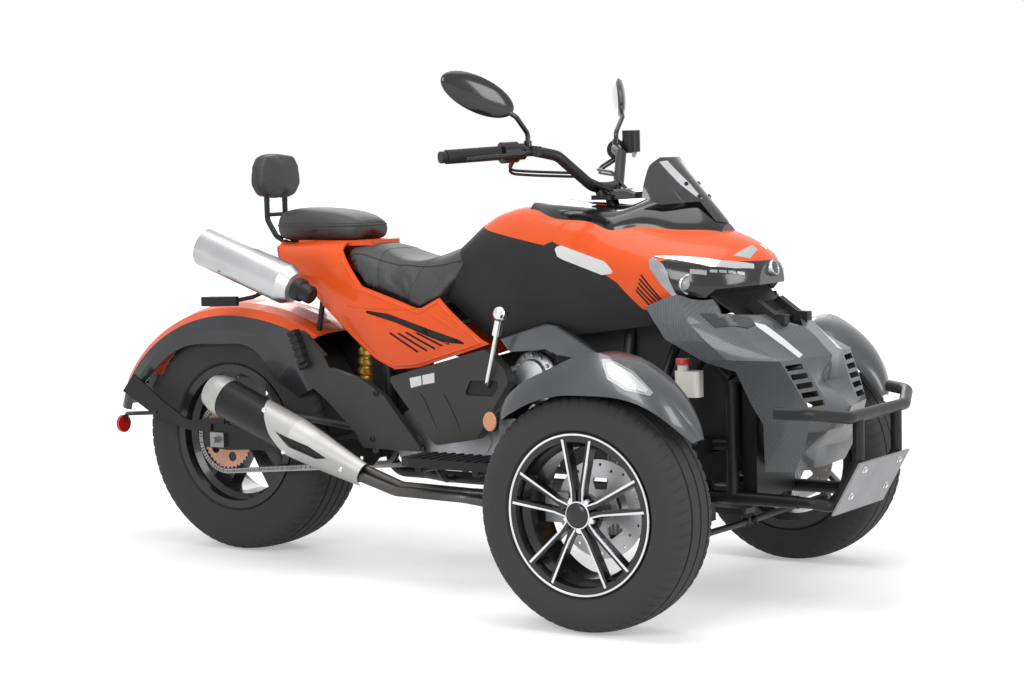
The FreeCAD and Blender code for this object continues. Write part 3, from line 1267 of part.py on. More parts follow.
def rider_seat():
    """The rider's saddle, dished between the tank and the pillion."""
    hull = Part.makeLoft([hull_section(x, half) for x, half in SEAT_STATIONS], True, False)
    under_deck = box_between(
        Vector(rx(400), -120, DECK_Z - SEAT_GAP), Vector(rx(DECK_FRONT) + 1, 120, DECK_Z + 60))
    return hull.common(side_slab(SEAT_OUTLINE, -300, 300)).cut(under_deck)


PILLION_STATIONS = [
    (rx(160), [(46, 896.3), (62, 915), (64, 938), (54, 960), (28, 972), (0, 974)]),
    (rx(240), [(74, 896.3), (90, 916), (92, 942), (78, 968), (40, 982), (0, 984)]),
    (rx(340), [(82, 896.3), (98, 916), (100, 942), (86, 966), (44, 977), (0, 978)]),
    (rx(420), [(74, 896.3), (88, 912), (90, 932), (78, 950), (40, 958), (0, 959)]),
    (rx(446), [(62, 896.3), (74, 910), (76, 926), (66, 938), (34, 944), (0, 945)])]


def pillion_seat():
    """The passenger's cushion on the tail's deck."""
    return Part.makeLoft([hull_section(x, half) for x, half in PILLION_STATIONS], True, False)


def backrest_pad():
    """A rounded pad behind the passenger."""
    corners = [(-62, 1018), (62, 1018), (88, 1050), (84, 1100), (62, 1133), (-62, 1133), (-84, 1100), (-88, 1050)]
    points = [Vector(rx(84), y, z) for y, z in corners]
    return Part.Face(rounded_wire(points, 26)).extrude(Vector(44, 0, 0))


def backrest_frame(panels, cushion):
    """Two posts that carry the pad, bent forward to the tail's deck."""
    pieces = []
    for side in (-1, 1):
        pieces.append(pipe([
            Vector(rx(104), side * 40, 1018 - SEAT_GAP), Vector(rx(104), side * 40, 952),
            Vector(rx(140), side * 46, 906), Vector(rx(186), side * 50, 885),
            Vector(rx(236) - SEAT_GAP, side * 50, 885)], 8, 26))
    pieces.append(cylinder(Vector(rx(104), -40, 966), Vector(rx(104), 40, 966), 6))
    return nearest_solid(joined(pieces).cut(panels).cut(cushion), Vector(rx(104), 0, 966))


COWL_STATIONS = [
    (fx(-446), [(60, 900), (94, 950), (99, 972), (90, 988), (50, 1001), (0, 1005)]),
    (fx(-390), [(80, 890), (116, 940), (122, 962), (112, 982), (62, 998), (0, 1001)]),
    (fx(-300), [(100, 880), (136, 925), (143, 948), (132, 972), (80, 989), (0, 992)]),
    (fx(-200), [(110, 860), (148, 905), (156, 930), (144, 956), (90, 980), (0, 988)]),
    (fx(-160), [(110, 860), (152, 900), (161, 924), (146, 956), (84, 984), (0, 994)]),
    (fx(-112), [(104, 860), (134, 905), (140, 930), (126, 962), (56, 1004), (0, 1014)]),
    (fx(-50), [(90, 860), (114, 900), (119, 924), (100, 962), (48, 1006), (0, 1018)]),
    (fx(20), [(66, 860), (82, 890), (87, 916), (72, 944), (34, 976), (0, 985)]),
    (fx(80), [(40, 850), (46, 880), (44, 900), (34, 920), (18, 932), (0, 937)])]


def dash_cowl(hull):
    """The black island on the tank and bonnet that holds the dash and the screen."""
    block = Part.makeLoft([hull_section(x, half) for x, half in COWL_STATIONS], True, False)
    hole = cylinder(along_column(600), along_column(1100), COLUMN_HOLE)
    return nearest_solid(block.cut(hull).cut(hole), Vector(fx(0), 0, 990))


SCREEN_RINGS = [
    (930, [(fx(-92), 128), (fx(0), 100), (fx(56), 50), (fx(88), 0)]),
    (1000, [(fx(-104), 112), (fx(-44), 88), (fx(4), 44), (fx(25), 0)]),
    (1060, [(fx(-102), 92), (fx(-66), 68), (fx(-42), 34), (fx(-30), 0)]),
    (1106, [(fx(-96), 66), (fx(-82), 46), (fx(-74), 22), (fx(-70), 0)])]


def screen_ring(z, half, inset):
    """A thin horizontal slice of the screen, closed behind."""
    outer = [Vector(x, y, z) for x, y in half]
    outer += [Vector(x, -y, z) for x, y in reversed(half[:-1])]
    inner = []
    for x, y in half:
        inner.append(Vector(x - inset, max(y - inset, 0.0), z))
    inner += [Vector(p.x, -p.y, z) for p in reversed(inner[:-1])]
    outer_curve = Part.BSplineCurve()
    outer_curve.interpolate(outer)
    inner_curve = Part.BSplineCurve()
    inner_curve.interpolate(list(reversed(inner)))
    joint = Part.LineSegment(outer[-1], inner[-1])
    other = Part.LineSegment(inner[0], outer[0])
    return Part.Wire([outer_curve.toShape(), joint.toShape(), inner_curve.toShape(), other.toShape()])


SCREEN_OUTLINE = [
    (fx(-108), 1008), (fx(-55), 988), (fx(18), 994), (fx(62), 944), (fx(120), 930), (fx(120), 1106),
    (fx(-84), 1106), (fx(-104), 1080)]


def windscreen(hull, cowl):
    """The small smoked screen, creased down its middle."""
    shell = Part.makeLoft([screen_ring(z, half, 5) for z, half in SCREEN_RINGS], True, False)
    seat = Part.makeLoft([hull_section(x, half, -SEAT_GAP) for x, half in COWL_STATIONS], True, False)
    screen = shell.common(side_slab(SCREEN_OUTLINE, -200, 200)).cut(hull).cut(seat).cut(cowl)
    return nearest_solid(screen, Vector(fx(-70), 0, 1100))


NOSE_RINGS = [
    (340, [(fx(130), 160), (fx(250), 160), (fx(326), 140), (fx(334), 60), (fx(336), 0)]),
    (393, [(fx(120), 172), (fx(250), 170), (fx(352), 146), (fx(350), 60), (fx(346), 0)]),
    (440, [(fx(110), 182), (fx(245), 178), (fx(368), 152), (fx(384), 74), (fx(388), 0)]),
    (492, [(fx(100), 194), (fx(235), 187), (fx(378), 158), (fx(394), 76), (fx(412), 0)]),
    (552, [(fx(80), 208), (fx(214), 198), (fx(350), 177), (fx(362), 92), (fx(338), 0)]),
    (616, [(fx(40), 222), (fx(185), 212), (fx(318), 196), (fx(334), 110), (fx(362), 0)]),
    (660, [(fx(0), 226), (fx(130), 216), (fx(232), 190), (fx(286), 112), (fx(318), 0)]),
    (702, [(fx(-30), 228), (fx(84), 216), (fx(180), 180), (fx(240), 110), (fx(268), 0)]),
    (742, [(fx(-60), 228), (fx(60), 213), (fx(142), 166), (fx(178), 100), (fx(196), 0)]),
    (800, [(fx(-70), 226), (fx(44), 206), (fx(112), 160), (fx(152), 100), (fx(172), 0)])]


def nose_ring(z, half, inset):
    """A horizontal slice of the nose with a corner at each edge of its faces."""
    points = [Vector(x - inset, max(y - inset, 0.0), z) for x, y in half]
    if inset > 0:
        points[0].x -= 60
    points += [Vector(p.x, -p.y, z) for p in reversed(points[:-1])]
    return Part.makePolygon(points + [points[0]])


FASCIA_OUTLINE = [
    (fx(-34), 742), (fx(21), 663), (fx(128), 608), (fx(204), 588), (fx(236), 508), (fx(262), 459),
    (fx(256), 342), (fx(440), 342), (fx(440), 640), (fx(310), 672), (fx(249), 702), (fx(238), 716),
    (fx(150), 724), (fx(122), 763), (fx(37), 772)]

LOUVRE_COUNT = 5
LOUVRE_TOP = 598.0
LOUVRE_STEP = 22.0
GRILLE_HALF = 76.0
GRILLE_WALL = 6.0
GRILLE_LINE = [(fx(132), 789), (fx(232), 706)]
WING_OUTLINE = [
    (fx(96), 786), (fx(166), 772), (fx(243), 718), (fx(271), 717), (fx(271), 694), (fx(226), 692)]


def nose_shell():
    """The nose as a thin wall of flat faces, open behind."""
    outer = Part.makeLoft([nose_ring(z, half, 0) for z, half in NOSE_RINGS], True, True)
    inner = Part.makeLoft([nose_ring(z, half, PANEL_WALL + 1) for z, half in NOSE_RINGS], True, True)
    return outer.cut(inner)


def fascia(shell, hull, grille):
    """The carbon-look nose cowl with a band of slats each side of its scooped middle."""
    cowl = shell.common(side_slab(FASCIA_OUTLINE, -300, 300)).cut(hull).cut(grille)
    cowl = cowl.cut(box_between(
        Vector(fx(60), -GRILLE_HALF - SEAT_GAP, 704), Vector(fx(300), GRILLE_HALF + SEAT_GAP, 800)))
    for side in (-1, 1):
        for i in range(LOUVRE_COUNT):
            z = LOUVRE_TOP - i * LOUVRE_STEP
            inner_y = side * (118 - i * 6.5)
            outer_y = side * (184 - i * 6.5)
            slot = box_between(
                Vector(fx(270), min(inner_y, outer_y), z - 6.5), Vector(fx(440), max(inner_y, outer_y), z + 6.5))
            cowl = cowl.cut(slot)
    return nearest_solid(cowl, Vector(fx(330), 0, 620))


def nose_grille(hull, panel):
    """A sloping mesh panel under the nose, between two dark diagonal wings."""
    high, low = GRILLE_LINE
    mesh = side_slab([
        high, low, (low[0] - GRILLE_WALL, low[1] - GRILLE_WALL), (high[0] - GRILLE_WALL, high[1] - GRILLE_WALL)],
        -GRILLE_HALF, GRILLE_HALF)
    for i in range(-6, 7):
        slot = box_between(Vector(fx(60), i * 11 - 3.5, 722), Vector(fx(300), i * 11 + 3.5, 778))
        mesh = mesh.cut(slot)
    wings = [side_slab(WING_OUTLINE, side * 62 - 13, side * 62 + 13) for side in (-1, 1)]
    return nearest_solid(joined([mesh] + wings).cut(hull).cut(panel), Vector(fx(230), 0, 706))


BUMPER_TUBE = 14.0
BUMPER_BAR_RADIUS = 15.0
BUMPER_BAR_Z = 484.0
BUMPER_RUN = 66.0
BUMPER_RISE = 118.0
BUMPER_SLOPE = math.hypot(BUMPER_RUN, BUMPER_RISE)
PLATE_REACH = (BUMPER_TUBE + SEAT_GAP + SKID_WALL) * BUMPER_RISE / BUMPER_SLOPE
PLATE_EXTRA = 0.05
BUMPER_KNEE = (FRONT_OVERHANG - PLATE_REACH - PLATE_EXTRA * BUMPER_RUN, 376.0)
BUMPER_HEEL = (BUMPER_KNEE[0] - BUMPER_RUN, BUMPER_KNEE[1] - BUMPER_RISE)


def front_bumper():
    """A round-tube bull bar with two uprights that run back to the frame."""
    pieces = []
    knee_x, knee_z = BUMPER_KNEE
    bar_z = BUMPER_BAR_Z
    pieces.append(pipe([
        Vector(fx(366), -326, bar_z + 24), Vector(fx(430), -290, bar_z + 20), Vector(fx(knee_x), -160, bar_z),
        Vector(fx(knee_x), 160, bar_z), Vector(fx(430), 290, bar_z + 20), Vector(fx(366), 326, bar_z + 24)],
        BUMPER_BAR_RADIUS, 60))
    heel_x, heel_z = BUMPER_HEEL
    for side in (-1, 1):
        pieces.append(pipe([
            Vector(fx(knee_x), side * 109, bar_z), Vector(fx(knee_x), side * 109, knee_z),
            Vector(fx(heel_x), side * 109, heel_z), Vector(fx(368), side * LOWER_RAIL_Y, LOWER_RAIL_Z),
            Vector(fx(330), side * LOWER_RAIL_Y, LOWER_RAIL_Z)], BUMPER_TUBE, 24))
    return joined(pieces)


def skid_plate():
    """A bright plate across the foot of the bumper."""
    heel_x, heel_z = BUMPER_HEEL
    out_x = BUMPER_RISE / BUMPER_SLOPE
    out_z = -BUMPER_RUN / BUMPER_SLOPE
    back = BUMPER_TUBE + SEAT_GAP
    points = []
    for depth, shares in (
            (back, (-PLATE_EXTRA, 1 + PLATE_EXTRA)), (back + SKID_WALL, (1 + PLATE_EXTRA, -PLATE_EXTRA))):
        for share in shares:
            x = heel_x + share * BUMPER_RUN + depth * out_x
            z = heel_z + share * BUMPER_RISE + depth * out_z
            points.append((fx(x), z))
    return side_slab(points, -144, 144)


def footboards():
    """Ribbed rests for the rider's feet."""
    boards = []
    outline = [
        (rx(752), -198), (rx(752), -FOOTBOARD_OUT + 20), (rx(790), -FOOTBOARD_OUT), (rx(1046), -FOOTBOARD_OUT),
        (rx(1046), -198)]
    board = plan_slab(outline, FOOTBOARD_TOP - 26, FOOTBOARD_TOP - 4, 14)
    ribs = []
    for i in range(9):
        x = rx(790) + i * 28
        ribs.append(box_between(
            Vector(x, -FOOTBOARD_OUT + 8, FOOTBOARD_TOP - 5), Vector(x + 10, -206, FOOTBOARD_TOP)))
    boards.append(joined([board] + ribs))
    return both_sides(boards[0])


SIDE_COVER_OUTLINE = [
    (rx(633), 535), (rx(948), 620), (rx(1006), 572), (rx(1020), 535), (rx(966), 459), (rx(916), 382),
    (rx(783), 360), (rx(653), 507)]
LEVER_WINDOW = [(rx(880), 497), (rx(900), 536), (rx(984), 540), (rx(990), 521), (rx(968), 497)]


def engine_side_covers():
    """Moulded covers over the engine's flanks, with chevron recesses and the lever's window."""
    tray = side_slab(SIDE_COVER_OUTLINE, -196, -160, 20)
    hollow = side_slab(inset_outline(SIDE_COVER_OUTLINE, 5), -191, -150, 16)
    tray = tray.cut(hollow)
    tray = tray.cut(side_slab(LEVER_WINDOW, -220, -140, 8))
    for shift in (0, 76):
        chevron = side_slab([
            (rx(736) + shift, 500), (rx(752) + shift, 476), (rx(792) + shift, 400), (rx(764) + shift, 476)],
            -200, -193.5)
        tray = tray.cut(chevron)
    return both_sides(tray)


def inset_outline(points, depth):
    """Points moved towards the middle of their outline by a depth."""
    middle_x = sum(x for x, z in points) / len(points)
    middle_z = sum(z for x, z in points) / len(points)
    result = []
    for x, z in points:
        reach = math.hypot(x - middle_x, z - middle_z)
        share = (reach - depth * 1.4) / reach
        result.append((middle_x + (x - middle_x) * share, middle_z + (z - middle_z) * share))
    return result


PIVOT_COVER_OUTLINE = [
    (rx(311), 660), (rx(342), 641), (rx(402), 588), (rx(425), 552), (rx(541), 522), (rx(612), 480),
    (rx(663), 419), (rx(737), 338), (rx(534), 339), (rx(511), 377), (rx(416), 461), (rx(343), 512),
    (rx(326), 556)]


def pivot_covers():
    """Long moulded covers that hide the swingarm's pivot and carry the passenger's pegs."""
    plate = side_slab(PIVOT_COVER_OUTLINE, -184, -163, 10)
    hollow = side_slab(inset_outline(PIVOT_COVER_OUTLINE, 6), -179, -150)
    return both_sides(plate.cut(hollow))


def passenger_pegs():
    """Ribbed pegs folded up against the covers."""
    blocks = []
    for i in range(5):
        blocks.append(box_between(Vector(-14, -12, i * 20), Vector(14, 12, i * 20 + 13)))
    blocks.append(box_between(Vector(-11, -9, 0), Vector(11, 9, 93)))
    blocks.append(cylinder(Vector(-17, 0, -8), Vector(17, 0, -8), 9))
    peg = joined(blocks)
    peg.rotate(Vector(0, 0, 0), Vector(0, 1, 0), -22)
    peg.translate(Vector(rx(347), -184.3 - 12, 566))
    return both_sides(peg)


def gear_lever(block):
    """A bright shift lever with a round knob, on the rider's right."""
    base = Vector(rx(945), -80, 450)
    bend = Vector(rx(958), -205, 530)
    top = Vector(rx(1028), -248, 690)
    rod = pipe([base, Vector(rx(945), -150, 505), bend, top], 6, 26)
    direction = top.sub(bend).normalize()
    sleeve = cylinder(top.sub(Vector(direction).multiply(30)), top.add(Vector(direction).multiply(14)), 12)
    knob = Part.makeSphere(20, top.add(Vector(direction).multiply(32)))
    return nearest_solid(joined([rod, sleeve, knob]).cut(block), top)


def radiator():
    """The radiator with its fan ring, behind the nose."""
    back = fx(150) + TUBE_RADIUS + SEAT_GAP
    core = box_between(Vector(back, -104, 262), Vector(fx(205), 104, 566))
    ring = cylinder(Vector(fx(205), 0, 425), Vector(fx(222), 0, 425), 92)
    ring = ring.cut(cylinder(Vector(fx(208), 0, 425), Vector(fx(224), 0, 425), 84))
    return joined([core, ring])


def coolant_bottle():
    """The white expansion bottle with its red cap's seat, beside the front tower."""
    body = plan_slab([(fx(29), -204), (fx(29), -162), (fx(97), -162), (fx(97), -204)], 520, 584, 14)
    neck = Part.makeCylinder(14, 16, Vector(fx(47), -184, 582))
    return joined([body, neck])


def bottle_cap():
    """The red screw cap of the bottle."""
    return Part.makeCylinder(17, 16, Vector(fx(47), -184, 598 + SEAT_GAP))


LINER_Y = 98.0
LINER_WALL = 3.0
AIRBOX_HALF = 54.0
MUDGUARD_GAP = 10.0


def inner_panels(obstacles, shields, lever):
    """Dark splash panels between the frame tubes, the air box and the inner mudguard of the rear tyre."""
    liner = side_slab([
        (fx(-372), 300), (fx(-372), 660), (fx(-150), 772), (fx(120), 560), (fx(130), 300)],
        -LINER_Y, -LINER_Y + LINER_WALL)
    for obstacle in obstacles:
        liner = liner.cut(obstacle)
    liner = nearest_solid(liner, Vector(fx(-90), -LINER_Y, 480))
    box = box_between(
        Vector(rx(474), -AIRBOX_HALF, 402), Vector(rx(590), AIRBOX_HALF, 650 - TUBE_RADIUS - SEAT_GAP))
    centre = Vector(REAR_X, 0, REAR_TYRE_RADIUS)
    inner = REAR_TYRE_RADIUS + MUDGUARD_GAP
    guard = revolved_about_y([(-88, inner), (88, inner), (88, inner + 4), (-88, inner + 4)], centre)
    guard = guard.common(side_slab([
        (rx(300), 322), (rx(460), 322), (rx(460), 500), (rx(150), 720), (rx(110), 600)], -100, 100))
    bracket = box_between(Vector(rx(344), -24, 324), Vector(rx(388), 24, 340)).cut(
        cylinder(centre.sub(Vector(0, 100, 0)), centre.add(Vector(0, 100, 0)), inner + 2))
    return Part.makeCompound(
        both_sides(liner).Solids + [box, joined([guard, bracket]), nose_backing(shields)]
        + window_backings(lever) + vent_backings())


def window_backings(lever):
    """Dark plates close behind the windows of the side covers, holed round the lever."""
    high = -191 + SEAT_GAP + LINER_WALL
    outline = [(x, z) for x, z in inset_outline(LEVER_WINDOW, -10)]
    plates = both_sides(side_slab(outline, -191 + SEAT_GAP, high, 8))
    return plates.cut(lever).Solids


def nose_backing(shields):
    """A dark sloping plate that shuts the nose behind the mesh, under the lamps."""
    plate = side_slab([(fx(92), 786), (fx(192), 702), (fx(189), 699), (fx(89), 783)], -200, 200)
    plate = plate.common(plan_slab([
        (fx(80), -178), (fx(200), -108), (fx(200), 108), (fx(80), 178)], 690, 800))
    for shield in shields:
        plate = plate.cut(shield)
    return nearest_solid(plate, Vector(fx(150), 0, 735))


def tail_lights(obstacles):
    """The rear lamp set inside the tail's end, and the round reflectors behind the stays."""
    gap = PANEL_WALL + SEAT_GAP
    inside = Part.makeLoft([hull_section(x, half, gap) for x, half in TAIL_STATIONS], True, False)
    lamp = inside.common(side_slab([(rx(166), 880), (rx(182), 842), (rx(206), 842), (rx(190), 880)], -90, 90))
    for obstacle in obstacles:
        lamp = lamp.cut(obstacle)
    lamp = nearest_solid(lamp, Vector(rx(186), 0, 860))
    return Part.makeCompound([lamp] + rear_reflectors().Solids)


def turn_signals(frame):
    """Leaf-shaped rear signals on stalks below the canisters."""
    lamp = plan_slab([
        (rx(22), -250), (rx(34), -216), (rx(116), -188), (rx(128), -208), (rx(66), -250)], 718, 744, 8)
    stalk = pipe([Vector(rx(110), -200, 732), Vector(rx(160), -178, 742), Vector(rx(240), -150, 780)], 6, 30)
    signal = nearest_solid(joined([lamp, stalk]).cut(frame), Vector(rx(66), -220, 734))
    return both_sides(signal)


def muffler_hanger(can):
    """A plate on the swingarm's pivot bolt with a peg that carries the muffler."""
    low_y = SWINGARM_Y + SWINGARM_WALL / 2 + SEAT_GAP
    z = REAR_TYRE_RADIUS
    plate = side_slab([
        (rx(PIVOT_X - 44), z - 44), (rx(PIVOT_X - 44), z - 16), (rx(PIVOT_X - 16), z + 5),
        (rx(PIVOT_X + 16), z + 5), (rx(PIVOT_X + 16), z - 16), (rx(PIVOT_X - 10), z - 44)],
        -low_y - 4.4, -low_y)
    bolt = Vector(rx(PIVOT_X), -200, z)
    plate = plate.cut(cylinder(bolt, bolt.add(Vector(0, 60, 0)), PIVOT_RADIUS + SEAT_GAP))
    peg = stay_to(can, Vector(rx(PIVOT_X - 28), -low_y - 2, z - 32), Vector(rx(PIVOT_X - 28), -MUFFLER_Y, z - 36), 8)
    return joined([plate, peg])


def build_front(parts, side, name):
    """Nodes of one front corner."""
    centre = Vector(FRONT_X, side * TRACK / 2, FRONT_TYRE_RADIUS)
    parts["front_tyre_" + name] = tyre(
        centre, FRONT_TYRE_RADIUS, FRONT_TYRE_WIDTH, FRONT_RIM_WIDTH, FRONT_BEAD_RADIUS, FRONT_LIP_RADIUS,
        (-38, 0, 38))
    parts["front_rim_" + name] = front_rim(centre, side)
    parts["brake_disc_" + name] = brake_disc(centre, side)
    skin, stay = front_fender(side)
    parts["knuckle_" + name] = joined([knuckle(side), stay])
    parts["front_fender_" + name] = Part.makeCompound(
        [solid for piece in fender_with_lens(skin, side) for solid in piece.Solids])
    parts["tie_rod_" + name] = tie_rod(side)


def build_rear(parts):
    """Nodes of the rear wheel and what carries it."""
    centre = Vector(REAR_X, 0, REAR_TYRE_RADIUS)
    parts["rear_tyre"] = tyre(
        centre, REAR_TYRE_RADIUS, REAR_TYRE_WIDTH, REAR_RIM_WIDTH, REAR_BEAD_RADIUS, REAR_LIP_RADIUS,
        (-50, -17, 17, 50))
    parts["rear_rim"] = rear_rim(centre)
    parts["rear_sprocket"] = sprocket(centre)
    parts["rear_brake_disc"] = rear_brake_disc(centre)
    parts["drive_chain"] = drive_chain()
    parts["swingarm"] = swingarm()
    parts["rear_axle"] = Part.makeCompound(rear_axle().Solids + axle_adjusters().Solids)
    parts["rear_fender"] = rear_fender()
    parts["fender_arches"] = fender_arches(parts["rear_fender"])
    parts["fender_stays"] = fender_stays(parts["fender_arches"])


def build_body(parts):
    """Nodes of the bodywork, seats and lamps."""
    hull = body_hull(0, 0)
    shell = body_shell()
    nose = nose_shell()
    parts["bonnet"] = bonnet(shell)
    parts["side_covers"] = side_covers(shell)
    parts["headlamps"] = headlamps(hull)
    parts["nose_panel"] = nose_panel(hull)
    parts["nose_grille"] = nose_grille(hull, parts["nose_panel"])
    parts["fascia"] = fascia(nose, hull, parts["nose_grille"])
    parts["dash_cowl"] = dash_cowl(hull)
    parts["windscreen"] = windscreen(hull, parts["dash_cowl"])
    parts["tail_panels"] = tail_panels()
    parts["rider_seat"] = rider_seat()
    parts["pillion_seat"] = pillion_seat()
    parts["backrest_pad"] = backrest_pad()
    parts["backrest_frame"] = backrest_frame(parts["tail_panels"], parts["pillion_seat"])
    parts["lower_covers"] = Part.makeCompound(engine_side_covers().Solids + pivot_covers().Solids)
    parts["foot_rests"] = Part.makeCompound(footboards().Solids + passenger_pegs().Solids)


def build_running_gear(parts):
    """Nodes of the engine, exhaust, frame and front end."""
    parts["engine"] = engine()
    parts["exhaust_pipe"] = exhaust_pipe(parts["engine"])
    cap, can, shield = muffler_parts()
    parts["lower_muffler"] = joined([can, muffler_hanger(can)])
    parts["muffler_shields"] = Part.makeCompound([cap, shield])
    bodies, inlets = upper_canisters()
    parts["upper_canisters"] = bodies
    parts["canister_inlets"] = inlets
    parts["gear_lever"] = gear_lever(parts["engine"])
    parts["radiator"] = radiator()
    parts["coolant_bottle"] = Part.makeCompound([coolant_bottle(), bottle_cap()])
    parts["shock_absorbers"] = Part.makeCompound(front_shocks().Solids + [rear_shock()])
    parts["suspension_arms"] = suspension_arms()
    parts["front_bumper"] = front_bumper()
    parts["skid_plate"] = skid_plate()
    parts["main_frame"] = frame_with_stays(parts)
    parts["turn_signals"] = turn_signals(parts["main_frame"])
    parts["tail_lights"] = tail_lights([
        parts["main_frame"], parts["tail_panels"], parts["backrest_frame"]])
    parts["inner_panels"] = inner_panels([
        parts["main_frame"], parts["engine"], parts["radiator"], parts["shock_absorbers"]], [
        parts["main_frame"], parts["fascia"], parts["nose_grille"], parts["headlamps"],
        parts["nose_panel"], parts["bonnet"], parts["radiator"]], parts["gear_lever"])


def build_parts():
    """Every node of the vehicle by name."""
    parts = {}
    for side, name in ((-1, "right"), (1, "left")):
        build_front(parts, side, name)
    parts["steering_column"] = steering_column()
    parts["handlebar"] = handlebar()
    parts["grips"] = grips()
    parts["hand_controls"] = hand_controls()
    parts["mirrors"] = mirrors()
    build_rear(parts)
    build_body(parts)
    build_running_gear(parts)
    return parts


if __name__ == "__main__":
    os.makedirs("parts", exist_ok=True)
    for node, shape in build_parts().items():
        shape.exportStep("parts/" + node + ".step")
        print(node, len(shape.Solids), shape.isValid(), round(shape.Volume / 1000, 1))
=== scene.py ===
"""Finish, trim, soft goods and studio for a three wheeled road vehicle. Units are metres."""
import logging
import math
from collections.abc import Callable, Sequence
from dataclasses import dataclass
from enum import Enum

import bmesh
import bpy
from mathutils import Matrix, Vector
from mathutils.bvhtree import BVHTree


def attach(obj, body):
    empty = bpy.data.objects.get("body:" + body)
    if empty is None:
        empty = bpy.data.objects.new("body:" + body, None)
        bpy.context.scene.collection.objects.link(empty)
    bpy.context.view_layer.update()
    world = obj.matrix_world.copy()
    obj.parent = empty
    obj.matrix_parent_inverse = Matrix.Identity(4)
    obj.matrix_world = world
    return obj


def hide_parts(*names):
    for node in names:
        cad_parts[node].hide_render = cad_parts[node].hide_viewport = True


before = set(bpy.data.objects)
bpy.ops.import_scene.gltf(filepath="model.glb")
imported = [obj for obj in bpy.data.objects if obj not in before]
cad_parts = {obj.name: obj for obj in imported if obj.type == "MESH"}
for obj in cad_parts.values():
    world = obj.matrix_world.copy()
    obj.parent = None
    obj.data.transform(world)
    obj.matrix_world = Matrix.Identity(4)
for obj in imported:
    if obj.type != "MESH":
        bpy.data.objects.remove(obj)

LOG = logging.getLogger("trike")
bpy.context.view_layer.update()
REAR_X = -0.7585
FRONT_X = 0.7235
TRACK = 1.066
FRONT_AXLE_Z = 0.284
REAR_AXLE_Z = 0.332

Rgb = tuple[float, float, float]
Point = tuple[float, float, float]
Corners = tuple[Point, ...]
Outline = Sequence[tuple[float, float]]
BOTH_SIDES = (-1, 1)
HAND = {-1: "right", 1: "left"}


def rx(offset: float) -> float:
    """X of a point given in millimetres from the rear axle."""
    return REAR_X + offset / 1000


def fx(offset: float) -> float:
    """X of a point given in millimetres from the front axle."""
    return FRONT_X + offset / 1000


def at(x: float, y: float, z: float) -> Vector:
    """A point from an X in metres and a Y and Z in millimetres."""
    return Vector((x, y / 1000, z / 1000))


class Body(Enum):
    """The rigid bodies that a piece can ride on."""

    ROOT = "root"
    STEERING = "steering"
    KNUCKLE_RIGHT = "knuckle_right"
    KNUCKLE_LEFT = "knuckle_left"
    FRONT_RIGHT = "wheel_front_right"
    FRONT_LEFT = "wheel_front_left"
    REAR = "wheel_rear"


KNUCKLE = {-1: Body.KNUCKLE_RIGHT, 1: Body.KNUCKLE_LEFT}
FRONT_WHEEL = {-1: Body.FRONT_RIGHT, 1: Body.FRONT_LEFT}


class NodeSheet:
    """A node tree with short calls to place and link its nodes."""

    def __init__(self, tree: bpy.types.NodeTree) -> None:
        """Starts on an empty tree.

        Args:
            tree: The shader or geometry tree to fill.
        """
        self.tree = tree

    def place(self, kind: str, inputs: dict | None = None, **settings: object) -> bpy.types.Node:
        """Adds a node, sets its options, and sets or links its inputs.

        Args:
            kind: The node's type name.
            inputs: Values or output sockets by input name or index.
            **settings: Properties of the node.

        Returns:
            The new node.
        """
        node = self.tree.nodes.new(kind)
        for name, value in settings.items():
            setattr(node, name, value)
        for key, value in (inputs or {}).items():
            if isinstance(value, bpy.types.NodeSocket):
                self.tree.links.new(value, node.inputs[key])
            else:
                node.inputs[key].default_value = value
        return node

    def where(self) -> bpy.types.NodeSocket:
        """The place on the object."""
        return self.place("ShaderNodeTexCoord").outputs["Object"]

    def give(self, made: bpy.types.Node, **outputs: bpy.types.NodeSocket) -> None:
        """Links sockets to the inputs of the group's output node."""
        for name, socket in outputs.items():
            self.tree.links.new(socket, made.inputs[name])

    def math(self, operation: str, first: object, second: object = 0.0) -> bpy.types.NodeSocket:
        """The output of a math node."""
        return self.place("ShaderNodeMath", {0: first, 1: second}, operation=operation).outputs[0]

    def blend(self, factor: object, first: object, second: object) -> bpy.types.NodeSocket:
        """The colour between two colours by a factor."""
        node = self.place("ShaderNodeMix", data_type="RGBA")
        for place, value in ((0, factor), (6, first), (7, second)):
            if isinstance(value, bpy.types.NodeSocket):
                self.tree.links.new(value, node.inputs[place])
            else:
                node.inputs[place].default_value = value
        return node.outputs[2]

    def ramp(self, value: object, low: float, high: float) -> bpy.types.NodeSocket:
        """A smooth 0 to 1 step of a value between two limits."""
        inputs = {0: value, 1: low, 2: high}
        node = self.place("ShaderNodeMapRange", inputs, interpolation_type="SMOOTHSTEP")
        return node.outputs[0]


def shader_group(name: str, inputs: dict, outputs: dict, fill: Callable) -> bpy.types.NodeTree:
    """A shader node group with named inputs and outputs, built once.

    Args:
        name: The group's name.
        inputs: Default values by input name; a number, or a colour of four.
        outputs: Socket types by output name.
        fill: Called with the sheet, the input node and the output node.

    Returns:
        The group's tree.
    """
    found = bpy.data.node_groups.get(name)
    if found:
        return found
    tree = bpy.data.node_groups.new(name, "ShaderNodeTree")
    for label, value in inputs.items():
        kind = "NodeSocketColor" if hasattr(value, "__len__") else "NodeSocketFloat"
        tree.interface.new_socket(label, in_out="INPUT", socket_type=kind).default_value = value
    for label, kind in outputs.items():
        tree.interface.new_socket(label, in_out="OUTPUT", socket_type=kind)
    sheet = NodeSheet(tree)
    fill(sheet, sheet.place("NodeGroupInput"), sheet.place("NodeGroupOutput"))
    return tree


